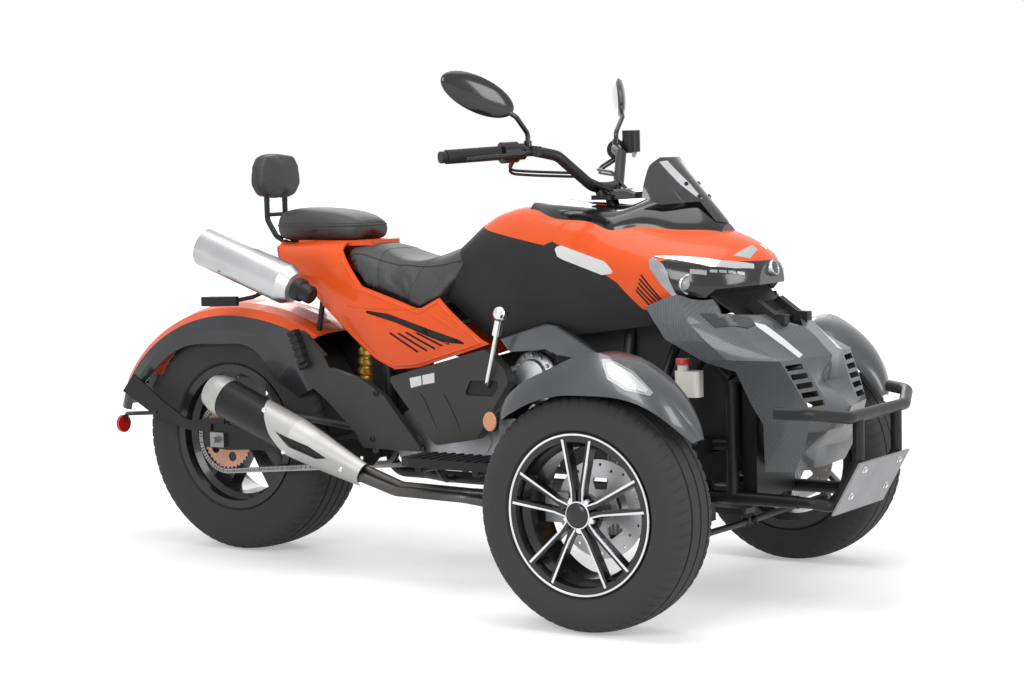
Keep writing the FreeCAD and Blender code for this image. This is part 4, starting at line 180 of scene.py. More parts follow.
def fill_grain(sheet: NodeSheet, given: bpy.types.Node, made: bpy.types.Node) -> None:
    """Fine moulded grain as a height."""
    where = sheet.where()
    cells = sheet.place("ShaderNodeTexVoronoi", {"Vector": where, "Scale": given.outputs["Scale"]})
    noise = sheet.place("ShaderNodeTexNoise", {
        "Vector": where, "Scale": sheet.math("MULTIPLY", given.outputs["Scale"], 0.6), "Detail": 3.0})
    height = sheet.math("ADD", cells.outputs["Distance"], sheet.math("MULTIPLY", noise.outputs[0], 0.8))
    sheet.give(made, Height=height)


def fill_drift(sheet: NodeSheet, given: bpy.types.Node, made: bpy.types.Node) -> None:
    """A slow drift between two near colours."""
    where = sheet.where()
    noise = sheet.place("ShaderNodeTexNoise", {
        "Vector": where, "Scale": given.outputs["Scale"], "Detail": 4.0})
    mask = sheet.ramp(noise.outputs[0], 0.32, 0.68)
    color = sheet.blend(mask, given.outputs["Color"], given.outputs["Other"])
    sheet.give(made, Color=color, Mask=mask)


def fill_dust(sheet: NodeSheet, given: bpy.types.Node, made: bpy.types.Node) -> None:
    """Pale road dust that thins out with height."""
    where = sheet.where()
    height = sheet.place("ShaderNodeSeparateXYZ", {0: where}).outputs[2]
    share = sheet.math("SUBTRACT", 1.0, sheet.math("DIVIDE", height, given.outputs["Top"]))
    noise = sheet.place("ShaderNodeTexNoise", {"Vector": where, "Scale": 38.0, "Detail": 5.0})
    mask = sheet.math("MULTIPLY", sheet.ramp(share, 0.0, 1.0), sheet.ramp(noise.outputs[0], 0.35, 0.8))
    mask = sheet.math("MULTIPLY", mask, given.outputs["Amount"])
    color = sheet.blend(mask, given.outputs["Color"], (0.30, 0.27, 0.24, 1))
    sheet.give(made, Color=color, Mask=mask)


def fill_brush(sheet: NodeSheet, given: bpy.types.Node, made: bpy.types.Node) -> None:
    """Long fine brush lines along X."""
    where = sheet.where()
    stretch = sheet.place("ShaderNodeMapping", {"Vector": where, "Scale": (0.03, 1.0, 1.0)})
    noise = sheet.place("ShaderNodeTexNoise", {
        "Vector": stretch.outputs[0], "Scale": given.outputs["Scale"], "Detail": 4.0})
    sheet.give(made, Height=noise.outputs[0])


def fill_weave(sheet: NodeSheet, given: bpy.types.Node, made: bpy.types.Node) -> None:
    """Twill-like cells of a woven print in the side view."""
    where = sheet.where()
    turned = sheet.place("ShaderNodeMapping", {"Vector": where, "Rotation": (0.35, 0.785, 0.35)})
    checker = sheet.place("ShaderNodeTexChecker", {
        "Vector": turned.outputs[0], "Scale": given.outputs["Scale"], "Color1": (1, 1, 1, 1),
        "Color2": (0, 0, 0, 1)})
    threads = sheet.place("ShaderNodeTexWave", {
        "Vector": turned.outputs[0], "Scale": sheet.math("MULTIPLY", given.outputs["Scale"], 0.8)})
    mask = sheet.math("ADD", sheet.math("MULTIPLY", checker.outputs["Fac"], 0.7),
                      sheet.math("MULTIPLY", threads.outputs["Fac"], 0.3))
    sheet.give(made, Mask=mask)


class Effect(Enum):
    """The shared effects, each a shader group."""

    GRAIN = ("grain", {"Scale": 900.0}, {"Height": "NodeSocketFloat"}, fill_grain)
    DRIFT = ("tone_drift", {"Color": (1, 1, 1, 1), "Other": (1, 1, 1, 1), "Scale": 6.0},
             {"Color": "NodeSocketColor", "Mask": "NodeSocketFloat"}, fill_drift)
    DUST = ("road_dust", {"Color": (1, 1, 1, 1), "Top": 0.5, "Amount": 0.3},
            {"Color": "NodeSocketColor", "Mask": "NodeSocketFloat"}, fill_dust)
    BRUSH = ("brush_lines", {"Scale": 900.0}, {"Height": "NodeSocketFloat"}, fill_brush)
    WEAVE = ("woven_cells", {"Scale": 260.0}, {"Mask": "NodeSocketFloat"}, fill_weave)

    def add(self, sheet: NodeSheet, inputs: dict) -> bpy.types.Node:
        """Places this effect's group in a material.

        Args:
            sheet: The material's sheet.
            inputs: Values or sockets for the group's inputs.

        Returns:
            The group node.
        """
        name, given, made, fill = self.value
        return sheet.place("ShaderNodeGroup", inputs, node_tree=shader_group(name, given, made, fill))


@dataclass(frozen=True)
class Finish:
    """One surface finish with its colour, sheen, relief and dirt."""

    name: str
    color: Rgb
    other: Rgb | None = None
    roughness: float = 0.5
    spread: float = 0.08
    metallic: float = 0.0
    coat: float = 0.0
    relief: Effect = Effect.GRAIN
    relief_scale: float = 900.0
    relief_depth: float = 0.15
    drift_scale: float = 6.0
    dust: float = 0.0
    dust_top: float = 0.6
    transmission: float = 0.0
    alpha: float = 1.0
    glow: float = 0.0
    weave_contrast: float = 0.0
    specular: float = 0.5

    def shade(self, sheet: NodeSheet) -> bpy.types.NodeSocket:
        """The base colour with its drift, weave and dust.

        Args:
            sheet: The material's sheet.

        Returns:
            The colour socket.
        """
        first = (*self.color, 1)
        second = (*(self.other or tuple(c * 0.82 for c in self.color)), 1)
        drift = Effect.DRIFT.add(sheet, {"Color": first, "Other": second, "Scale": self.drift_scale})
        color = drift.outputs["Color"]
        if self.weave_contrast:
            cells = Effect.WEAVE.add(sheet, {"Scale": self.relief_scale})
            light = tuple(min(1.0, c * (1 + self.weave_contrast)) for c in self.color)
            color = sheet.blend(cells.outputs["Mask"], color, (*light, 1))
        if self.dust:
            layer = Effect.DUST.add(sheet, {"Color": color, "Top": self.dust_top, "Amount": self.dust})
            color = layer.outputs["Color"]
        return color

    def material(self) -> bpy.types.Material:
        """The finish as a material, built once."""
        found = bpy.data.materials.get(self.name)
        if found:
            return found
        made = bpy.data.materials.new(self.name)
        made.use_nodes = True
        made.node_tree.nodes.clear()
        sheet = NodeSheet(made.node_tree)
        where = sheet.where()
        blotch = sheet.place("ShaderNodeTexNoise", {"Vector": where, "Scale": 24.0, "Detail": 4.0})
        low, high = max(0.02, self.roughness - self.spread), self.roughness + self.spread
        rough = sheet.place("ShaderNodeMapRange", {0: blotch.outputs[0], 3: low, 4: high})
        height = self.relief.add(sheet, {"Scale": self.relief_scale}).outputs[0]
        bump = sheet.place("ShaderNodeBump", {
            "Strength": self.relief_depth, "Distance": 0.0008, "Height": height})
        shader = sheet.place("ShaderNodeBsdfPrincipled", {
            "Base Color": self.shade(sheet), "Roughness": rough.outputs[0], "Metallic": self.metallic,
            "Coat Weight": self.coat, "Coat Roughness": 0.06, "Transmission Weight": self.transmission,
            "Alpha": self.alpha, "Normal": bump.outputs[0], "Specular IOR Level": self.specular})
        if self.glow:
            shader.inputs["Emission Color"].default_value = (*self.color, 1)
            shader.inputs["Emission Strength"].default_value = self.glow
        sheet.place("ShaderNodeOutputMaterial", {"Surface": shader.outputs[0]})
        return made


ORANGE = Finish("orange_gloss", (0.80, 0.096, 0.012), (0.75, 0.086, 0.010), 0.36, 0.04, coat=0.3,
                relief_scale=220.0, relief_depth=0.02, specular=0.22)
GUNMETAL = Finish("gunmetal_metallic", (0.085, 0.088, 0.094), (0.062, 0.064, 0.069), 0.34, 0.05,
                  metallic=0.6, coat=0.5, relief_scale=1600.0, relief_depth=0.05, specular=0.4)
WOVEN = Finish("woven_grey", (0.066, 0.069, 0.074), (0.054, 0.057, 0.061), 0.38, 0.05, metallic=0.3,
               coat=0.35, relief=Effect.WEAVE, relief_scale=300.0, relief_depth=0.12, weave_contrast=0.7,
               specular=0.35)
GRAINED = Finish("grained_black", (0.016, 0.016, 0.017), (0.012, 0.012, 0.013), 0.50, 0.06,
                 relief_scale=1100.0, relief_depth=0.3, specular=0.25)
COVER = Finish("moulded_dark", (0.036, 0.036, 0.035), (0.030, 0.030, 0.029), 0.46, 0.06,
               relief_scale=1100.0, relief_depth=0.3, specular=0.35)
SATIN = Finish("satin_black", (0.010, 0.010, 0.011), (0.007, 0.007, 0.008), 0.38, 0.08,
               relief_scale=500.0, relief_depth=0.06, dust=0.04, specular=0.3)
GLOSS = Finish("gloss_black", (0.008, 0.008, 0.009), None, 0.16, 0.04, coat=0.4, relief_depth=0.01,
               specular=0.4)
TYRE = Finish("tyre_rubber", (0.013, 0.013, 0.014), (0.018, 0.018, 0.018), 0.66, 0.08,
              relief_scale=700.0, relief_depth=0.3, dust=0.06, dust_top=0.75, specular=0.18)
HIDE = Finish("seat_cover", (0.009, 0.009, 0.0095), (0.007, 0.007, 0.0075), 0.46, 0.07,
              relief_scale=520.0, relief_depth=0.4, specular=0.16)
ALLOY = Finish("cast_alloy", (0.50, 0.51, 0.53), (0.38, 0.39, 0.41), 0.42, 0.1, metallic=0.9,
               relief_scale=700.0, relief_depth=0.35, dust=0.08)
DARK_ALLOY = Finish("black_alloy", (0.012, 0.012, 0.013), (0.016, 0.016, 0.018), 0.28, 0.06, metallic=0.2,
                    coat=0.3, relief_depth=0.04, specular=0.35)
MACHINED = Finish("machined_face", (0.72, 0.73, 0.75), (0.62, 0.63, 0.65), 0.24, 0.06, metallic=1.0,
                  relief=Effect.BRUSH, relief_scale=1400.0, relief_depth=0.08)
BRUSHED = Finish("brushed_steel", (0.56, 0.56, 0.57), (0.44, 0.44, 0.45), 0.33, 0.08, metallic=1.0,
                 relief=Effect.BRUSH, relief_scale=1100.0, relief_depth=0.12)
DISC = Finish("disc_steel", (0.52, 0.52, 0.54), (0.42, 0.42, 0.44), 0.30, 0.1, metallic=1.0,
              relief=Effect.BRUSH, relief_scale=1600.0, relief_depth=0.1)
CHROME = Finish("chrome", (0.78, 0.79, 0.80), None, 0.10, 0.03, metallic=1.0, relief_depth=0.0)
ZINC = Finish("zinc_plate", (0.34, 0.34, 0.34), (0.26, 0.26, 0.26), 0.38, 0.1, metallic=0.95,
              relief_depth=0.1, dust=0.08)
PIPE = Finish("ribbed_pipe", (0.15, 0.145, 0.14), (0.10, 0.096, 0.092), 0.42, 0.1, metallic=0.9,
              relief_depth=0.1, dust=0.06)
COPPER = Finish("coppered_steel", (0.46, 0.25, 0.18), (0.34, 0.19, 0.14), 0.36, 0.08, metallic=1.0,
                relief_depth=0.1)
GOLD = Finish("gold_spring", (0.62, 0.38, 0.08), (0.50, 0.30, 0.06), 0.30, 0.08, metallic=0.8, coat=0.3)
SMOKE = Finish("smoked_screen", (0.050, 0.050, 0.053), (0.040, 0.040, 0.043), 0.06, 0.02, coat=0.3,
               relief_depth=0.0, transmission=0.4, specular=0.4)
CLEAR = Finish("clear_lens", (0.52, 0.54, 0.56), (0.38, 0.40, 0.42), 0.10, 0.04, coat=0.6,
               relief_scale=260.0, relief_depth=0.35, transmission=0.35)
RED = Finish("red_lens", (0.55, 0.012, 0.010), (0.42, 0.008, 0.008), 0.16, 0.04, coat=0.6,
             relief_scale=300.0, relief_depth=0.25, glow=0.06)
AMBER = Finish("amber_lens", (0.60, 0.26, 0.11), (0.52, 0.21, 0.09), 0.3, 0.04, coat=0.4,
               relief_scale=320.0, relief_depth=0.3)
MILK = Finish("milky_plastic", (0.74, 0.74, 0.68), (0.66, 0.66, 0.6), 0.4, 0.06, relief_depth=0.1)
RED_CAP = Finish("red_plastic", (0.55, 0.03, 0.02), None, 0.4, 0.06, relief_depth=0.1)
PALE = Finish("pale_trim", (0.70, 0.70, 0.70), (0.62, 0.62, 0.62), 0.3, 0.05, coat=0.4, relief_depth=0.03)
SILVER = Finish("silver_trim", (0.60, 0.61, 0.62), (0.52, 0.53, 0.54), 0.28, 0.05, metallic=0.8,
                relief_depth=0.03)
REFLECTOR = Finish("mirror_glass", (0.82, 0.83, 0.85), None, 0.03, 0.01, metallic=1.0, relief_depth=0.0)
DARK_GREY = Finish("dark_grey_gloss", (0.030, 0.031, 0.034), (0.024, 0.025, 0.027), 0.26, 0.05, coat=0.4,
                   relief_depth=0.04, specular=0.35)
MOULDING = Finish("grey_moulding", (0.085, 0.088, 0.096), (0.065, 0.068, 0.074), 0.28, 0.05, metallic=0.3,
                  coat=0.4, relief_depth=0.03)
SHIELD = Finish("satin_shield", (0.46, 0.46, 0.45), (0.38, 0.38, 0.37), 0.42, 0.08, metallic=0.75,
                relief=Effect.BRUSH, relief_scale=1100.0, relief_depth=0.1)
SKID = Finish("grey_plate", (0.30, 0.30, 0.31), (0.25, 0.25, 0.26), 0.45, 0.08, metallic=0.4,
              relief_depth=0.06)
PRINT = Finish("black_print", (0.008, 0.008, 0.009), None, 0.4, 0.05, relief_depth=0.0, specular=0.2)

NODE_FINISH: dict[str, Finish] = {
    "front_tyre_right": TYRE, "front_tyre_left": TYRE, "rear_tyre": TYRE, "front_rim_right": DARK_ALLOY,
    "front_rim_left": DARK_ALLOY, "rear_rim": DARK_ALLOY, "brake_disc_right": DISC,
    "brake_disc_left": DISC, "rear_brake_disc": DISC, "rear_sprocket": COPPER, "drive_chain": ZINC,
    "knuckle_right": ZINC, "knuckle_left": ZINC, "front_fender_right": GUNMETAL,
    "front_fender_left": GUNMETAL, "tie_rod_right": SATIN, "tie_rod_left": SATIN,
    "steering_column": SATIN, "handlebar": SATIN, "grips": GRAINED, "hand_controls": SATIN,
    "mirrors": GLOSS, "swingarm": SATIN, "rear_axle": ZINC, "shock_absorbers": GOLD,
    "rear_fender": ORANGE, "fender_arches": DARK_GREY, "fender_stays": SATIN, "bonnet": ORANGE,
    "side_covers": GRAINED, "headlamps": GLOSS, "fascia": WOVEN, "nose_grille": GRAINED,
    "dash_cowl": GLOSS, "windscreen": SMOKE, "tail_panels": ORANGE, "tail_lights": RED,
    "rider_seat": HIDE, "pillion_seat": HIDE, "backrest_pad": HIDE, "backrest_frame": SATIN,
    "lower_covers": COVER, "foot_rests": GRAINED, "engine": ALLOY, "exhaust_pipe": PIPE,
    "lower_muffler": SATIN, "muffler_shields": SHIELD, "upper_canisters": BRUSHED,
    "canister_inlets": SATIN, "gear_lever": CHROME, "radiator": SATIN, "coolant_bottle": MILK,
    "suspension_arms": SATIN, "front_bumper": SATIN, "skid_plate": SKID, "main_frame": SATIN,
    "turn_signals": GRAINED, "nose_panel": GLOSS, "inner_panels": GRAINED,
}


def dress_nodes() -> None:
    """Gives each carried-over node its finish."""
    for name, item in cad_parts.items():
        item.data.materials.clear()
        item.data.materials.append(NODE_FINISH[name].material())
        LOG.info("node %s: %s", name, NODE_FINISH[name].name)


def piece(name: str, bm: bmesh.types.BMesh, finish: Finish, body: Body) -> bpy.types.Object:
    """A finished object from a filled bmesh, riding on its body.

    Args:
        name: The piece's name.
        bm: Its geometry in the row frame, freed here.
        finish: Its finish.
        body: The body that carries it.

    Returns:
        The object.
    """
    bmesh.ops.recalc_face_normals(bm, faces=bm.faces)
    mesh = bpy.data.meshes.new(name)
    bm.to_mesh(mesh)
    bm.free()
    return placed(name, mesh, finish, body)


def placed(name: str, mesh: bpy.types.Mesh, finish: Finish, body: Body) -> bpy.types.Object:
    """An object for a mesh, smooth up to sharp edges, with finish and body."""
    mesh.materials.clear()
    mesh.materials.append(finish.material())
    mesh.shade_smooth()
    mesh.set_sharp_from_angle(angle=math.radians(34))
    item = bpy.data.objects.new(name, mesh)
    bpy.context.scene.collection.objects.link(item)
    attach(item, body.value)
    LOG.info("piece %s: %d faces", name, len(mesh.polygons))
    return item


def frame_of(axis: Vector) -> Matrix:
    """A rotation whose Z points along an axis."""
    return axis.to_track_quat("Z", "Y").to_matrix()


def join_rows(bm: bmesh.types.BMesh, rows: list[list[bmesh.types.BMVert]], ring: bool = False,
              caps: Sequence[int] = (0, -1)) -> None:
    """Adds the faces between neighbouring closed rows of points, and over the ends.

    Args:
        bm: The mesh to add to.
        rows: Rows with as many points each.
        ring: True where the last row joins the first one, with no ends.
        caps: The rows that get a face over them.
    """
    for low, high in zip(rows, rows[1:] + (rows[:1] if ring else [])):
        for i in range(len(low)):
            bm.faces.new((low[i - 1], low[i], high[i], high[i - 1]))
    for row in () if ring else caps:
        bm.faces.new(rows[row])


def add_turned(bm: bmesh.types.BMesh, start: Vector, axis: Vector, profile: Outline,
               steps: int = 32) -> None:
    """Adds a turned form from (distance, radius) pairs in millimetres along an axis.

    Args:
        bm: The mesh to add to.
        start: The axis' start.
        axis: Its direction.
        profile: The outline; a long one whose ends have about the same radius is closed as a ring.
        steps: Sides of the form.
    """
    turn = frame_of(axis.normalized())
    rows = []
    for distance, radius in profile:
        row = []
        for i in range(steps):
            angle = 2 * math.pi * i / steps
            local = Vector((radius * math.cos(angle), radius * math.sin(angle), distance)) / 1000
            row.append(bm.verts.new(start + turn @ local))
        rows.append(row)
    inner, outer = sorted((profile[0][1], profile[-1][1]))
    join_rows(bm, rows, ring=len(profile) > 3 and inner > 0.7 * outer)


def rounded_path(points: Sequence[Vector], bend: float, steps: int = 6) -> list[Vector]:
    """Straight runs joined by arcs.

    Args:
        points: The corners.
        bend: Radius of the bends in metres.
        steps: Points in each bend.

    Returns:
        The path's points.
    """
    path = [points[0]]
    for before, corner, after in zip(points, points[1:], points[2:]):
        first, last = (before - corner), (after - corner)
        turn = math.pi - first.angle(last)
        reach = min(bend * math.tan(turn / 2), 0.45 * first.length, 0.45 * last.length)
        start = corner + first.normalized() * reach
        end = corner + last.normalized() * reach
        for i in range(steps + 1):
            t = i / steps
            path.append(start * (1 - t) ** 2 + corner * 2 * t * (1 - t) + end * t * t)
    return path + [points[-1]]


def add_tube(bm: bmesh.types.BMesh, path: Sequence[Vector], radius: float, steps: int = 12) -> None:
    """Adds a round tube along a path; the radius is in millimetres."""
    rows = []
    side = None
    for i, point in enumerate(path):
        along = (path[min(i + 1, len(path) - 1)] - path[max(i - 1, 0)]).normalized()
        guess = side if side is not None else along.orthogonal()
        side = (guess - along * guess.dot(along)).normalized()
        other = along.cross(side)
        rows.append([bm.verts.new(point + (side * math.cos(a) + other * math.sin(a)) * radius / 1000)
                     for a in (2 * math.pi * k / steps for k in range(steps))])
    join_rows(bm, rows)


class Skin:
    """The outer surface of some CAD nodes, to lay trim on; its reaches are in metres."""

    START = 0.25
    NEAR = 0.09

    def __init__(self, *names: str) -> None:
        """Joins the nodes' meshes for ray tests.

        Args:
            *names: The nodes.
        """
        bm = bmesh.new()
        for name in names:
            bm.from_mesh(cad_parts[name].data)
        self.tree = BVHTree.FromBMesh(bm)
        bm.free()

    def press(self, point: Vector, facing: Vector, lift: float) -> Vector:
        """The place of a point pressed onto the skin against a facing direction, lifted off it."""
        found, normal, _, _ = self.tree.ray_cast(point + facing * self.START, -facing)
        if found is None or (found - point).length > self.NEAR:
            found, normal, _, _ = self.tree.find_nearest(point)
        if normal.dot(facing) < 0:
            normal = -normal
        return found + normal * lift


@dataclass(frozen=True)
class Patch:
    """A thin piece of trim pressed onto a panel, given by its corners in millimetres."""

    nodes: tuple[str, ...]
    corners: Corners
    facing: Point = (0.0, -1.0, 0.1)
    lift: float = 0.9
    step: float = 9.0
    sunk: float = 0.8

    def fill(self, bm: bmesh.types.BMesh, skin: Skin, side: int) -> None:
        """Adds the patch on one side.

        Args:
            bm: The mesh to add to.
            skin: The surface below it.
            side: -1 for the right as measured, 1 for its mirror image.
        """
        facing = Vector((self.facing[0], -side * self.facing[1], self.facing[2])).normalized()
        turn = frame_of(facing)
        points = [turn.transposed() @ at(fx(x), -side * y, z) for x, y, z in self.corners]
        level = sum(p.z for p in points) / len(points)
        part = bmesh.new()
        part.faces.new([part.verts.new((p.x, p.y, level)) for p in points])
        for axis in (0, 1):
            low = min(p[axis] for p in points)
            high = max(p[axis] for p in points)
            normal = Vector((1, 0, 0)) if axis == 0 else Vector((0, 1, 0))
            count = max(1, round((high - low) * 1000 / self.step))
            for i in range(1, count):
                where = normal * (low + (high - low) * i / count)
                geom = part.verts[:] + part.edges[:] + part.faces[:]
                bmesh.ops.bisect_plane(part, geom=geom, plane_co=where, plane_no=normal)
        for vert in part.verts:
            vert.co = skin.press(turn @ vert.co, facing, self.lift / 1000)
        edges = [edge for edge in part.edges if edge.is_boundary]
        made = bmesh.ops.extrude_edge_only(part, edges=edges)
        for vert in (v for v in made["geom"] if isinstance(v, bmesh.types.BMVert)):
            vert.co -= facing * (self.lift + self.sunk) / 1000
        mesh = bpy.data.meshes.new("patch")
        part.to_mesh(mesh)
        part.free()
        bm.from_mesh(mesh)
        bpy.data.meshes.remove(mesh)


def strip(line: Sequence[Point], width: float, up: Point) -> Corners:
    """The corners of a band of one width along a line of points, both in millimetres."""
    shift = Vector(up).normalized() * width / 2
    high = [tuple(Vector(p) + shift) for p in line]
    low = [tuple(Vector(p) - shift) for p in reversed(line)]
    return tuple(high + low)


class Repeat:
    """A Geometry Nodes tree that copies one small form to many places."""

    def __init__(self, name: str, fill: Callable, inputs: dict[str, float]) -> None:
        """Builds the tree once.

        Args:
            name: The tree's name.
            fill: Called with the sheet and the input node; returns the points' socket and the rotation's.
            inputs: Number inputs with their defaults.
        """
        self.tree = bpy.data.node_groups.new(name, "GeometryNodeTree")
        self.tree.is_modifier = True
        sockets = self.tree.interface
        for label, kind in (("Geometry", "Geometry"), ("Form", "Object"), ("Finish", "Material")):
            sockets.new_socket(label, in_out="INPUT", socket_type="NodeSocket" + kind)
        for label, value in inputs.items():
            kind = "NodeSocketInt" if isinstance(value, int) else "NodeSocketFloat"
            sockets.new_socket(label, in_out="INPUT", socket_type=kind).default_value = value
        sockets.new_socket("Geometry", in_out="OUTPUT", socket_type="NodeSocketGeometry")
        sheet = NodeSheet(self.tree)
        given = sheet.place("NodeGroupInput")
        points, rotation = fill(sheet, given)
        form = sheet.place("GeometryNodeObjectInfo", {"Object": given.outputs["Form"]})
        copies = sheet.place("GeometryNodeInstanceOnPoints", {
            "Points": points, "Instance": form.outputs["Geometry"], "Rotation": rotation})
        real = sheet.place("GeometryNodeRealizeInstances", {0: copies.outputs[0]})
        painted = sheet.place("GeometryNodeSetMaterial", {
            "Geometry": real.outputs[0], "Material": given.outputs["Finish"]})
        sheet.place("NodeGroupOutput", {0: painted.outputs[0]})

    def run(self, base: bpy.types.Mesh, form: bmesh.types.BMesh, finish: Finish,
            **values: float) -> bpy.types.Mesh:
        """Runs the tree over a base mesh.

        Args:
            base: The mesh that gives the places.
            form: The form to copy, freed here.
            finish: The finish of the result.
            **values: Number inputs to set.

        Returns:
            The resulting plain mesh.
        """
        bmesh.ops.recalc_face_normals(form, faces=form.faces)
        form_mesh = bpy.data.meshes.new("form")
        form.to_mesh(form_mesh)
        form.free()
        form_item = bpy.data.objects.new("form", form_mesh)
        item = bpy.data.objects.new("places", base)
        for each in (form_item, item):
            bpy.context.scene.collection.objects.link(each)
        modifier = item.modifiers.new("repeat", "NODES")
        modifier.node_group = self.tree
        given = {"Form": form_item, "Finish": finish.material(), **values}
        for socket in self.tree.interface.items_tree:
            if socket.in_out == "INPUT" and socket.name in given:
                modifier[socket.identifier] = given[socket.name]
        depsgraph = bpy.context.evaluated_depsgraph_get()
        made = bpy.data.meshes.new_from_object(item.evaluated_get(depsgraph))
        item.modifiers.clear()
        for each in (form_item, item):
            bpy.data.objects.remove(each)
        return made


def fill_ring(sheet: NodeSheet, given: bpy.types.Node) -> tuple:
    """Turned copies about the Y axis through the origin."""
    line = sheet.place("GeometryNodeMeshLine", {"Count": given.outputs["Count"], "Offset": (0, 0, 0)})
    index = sheet.place("GeometryNodeInputIndex").outputs[0]
    share = sheet.math("DIVIDE", index, given.outputs["Count"])
    turn = sheet.math("MULTIPLY", share, 2 * math.pi)
    return line.outputs[0], sheet.place("ShaderNodeCombineXYZ", {"Y": turn}).outputs[0]


def fill_path(sheet: NodeSheet, given: bpy.types.Node) -> tuple:
    """Copies at equal steps along the base's edges, with Z along the way and X near to Y."""
    curve = sheet.place("GeometryNodeMeshToCurve", {"Mesh": given.outputs["Geometry"]})
    inputs = {"Curve": curve.outputs[0], "Length": given.outputs["Step"]}
    points = sheet.place("GeometryNodeCurveToPoints", inputs, mode="LENGTH")
    aimed = sheet.place("FunctionNodeAlignEulerToVector", {"Vector": points.outputs["Tangent"]}, axis="Z")
    level = sheet.place(
        "FunctionNodeAlignEulerToVector", {"Rotation": aimed.outputs[0], "Vector": (0, 1, 0)},
        axis="X", pivot_axis="Z")
    return points.outputs["Points"], level.outputs[0]


def fill_points(sheet: NodeSheet, given: bpy.types.Node) -> tuple:
    """A copy on each of the base's points, with Z along the point's facing attribute."""
    facing = sheet.place("GeometryNodeInputNamedAttribute", {"Name": "facing"}, data_type="FLOAT_VECTOR")
    aimed = sheet.place("FunctionNodeAlignEulerToVector", {"Vector": facing.outputs[0]}, axis="Z")
    return given.outputs["Geometry"], aimed.outputs[0]


RING_REPEAT = Repeat("ring_repeat", fill_ring, {"Count": 5})
PATH_REPEAT = Repeat("path_repeat", fill_path, {"Step": 0.01})
POINT_REPEAT = Repeat("point_repeat", fill_points, {})


def on_ring(form: bmesh.types.BMesh, count: int, centre: Vector, finish: Finish) -> bpy.types.Mesh:
    """Copies of a form turned about a wheel's axle."""
    mesh = RING_REPEAT.run(bpy.data.meshes.new("ring"), form, finish, Count=count)
    mesh.transform(Matrix.Translation(centre))
    return mesh


def on_path(form: bmesh.types.BMesh, path: Sequence[Vector], step: float, finish: Finish) -> bpy.types.Mesh:
    """Copies of a form at equal steps along a path."""
    base = bpy.data.meshes.new("path")
    base.from_pydata([tuple(p) for p in path], [(i, i + 1) for i in range(len(path) - 1)], [])
    return PATH_REPEAT.run(base, form, finish, Step=step)


def on_points(form: bmesh.types.BMesh, places: Sequence[tuple[Vector, Vector]],
              finish: Finish) -> bpy.types.Mesh:
    """A copy of a form at each place, facing its direction."""
    base = bpy.data.meshes.new("points")
    base.from_pydata([tuple(place) for place, _ in places], [], [])
    attribute = base.attributes.new("facing", "FLOAT_VECTOR", "POINT")
    attribute.data.foreach_set("vector", [v for _, way in places for v in way.normalized()])
    return POINT_REPEAT.run(base, form, finish)


def hex_bolt(size: float) -> bmesh.types.BMesh:
    """A flanged hexagon head of one width across, in millimetres, on the origin."""
    form = bmesh.new()
    up = Vector((0, 0, 1))
    add_turned(form, Vector(), up, [(-1, size * 0.72), (1.2, size * 0.72), (1.8, size * 0.6)], 20)
    add_turned(form, Vector(), up, [
        (1, size * 0.5), (size * 0.42, size * 0.5), (size * 0.5, size * 0.42)], 6)
    return form


def dome_bolt(radius: float) -> bmesh.types.BMesh:
    """A round head with a hexagon recess, in millimetres, on the origin."""
    form = bmesh.new()
    add_turned(form, Vector(), Vector((0, 0, 1)), [
        (-1, radius), (radius * 0.35, radius), (radius * 0.62, radius * 0.72),
        (radius * 0.66, radius * 0.42), (radius * 0.4, radius * 0.38)], 20)
    return form


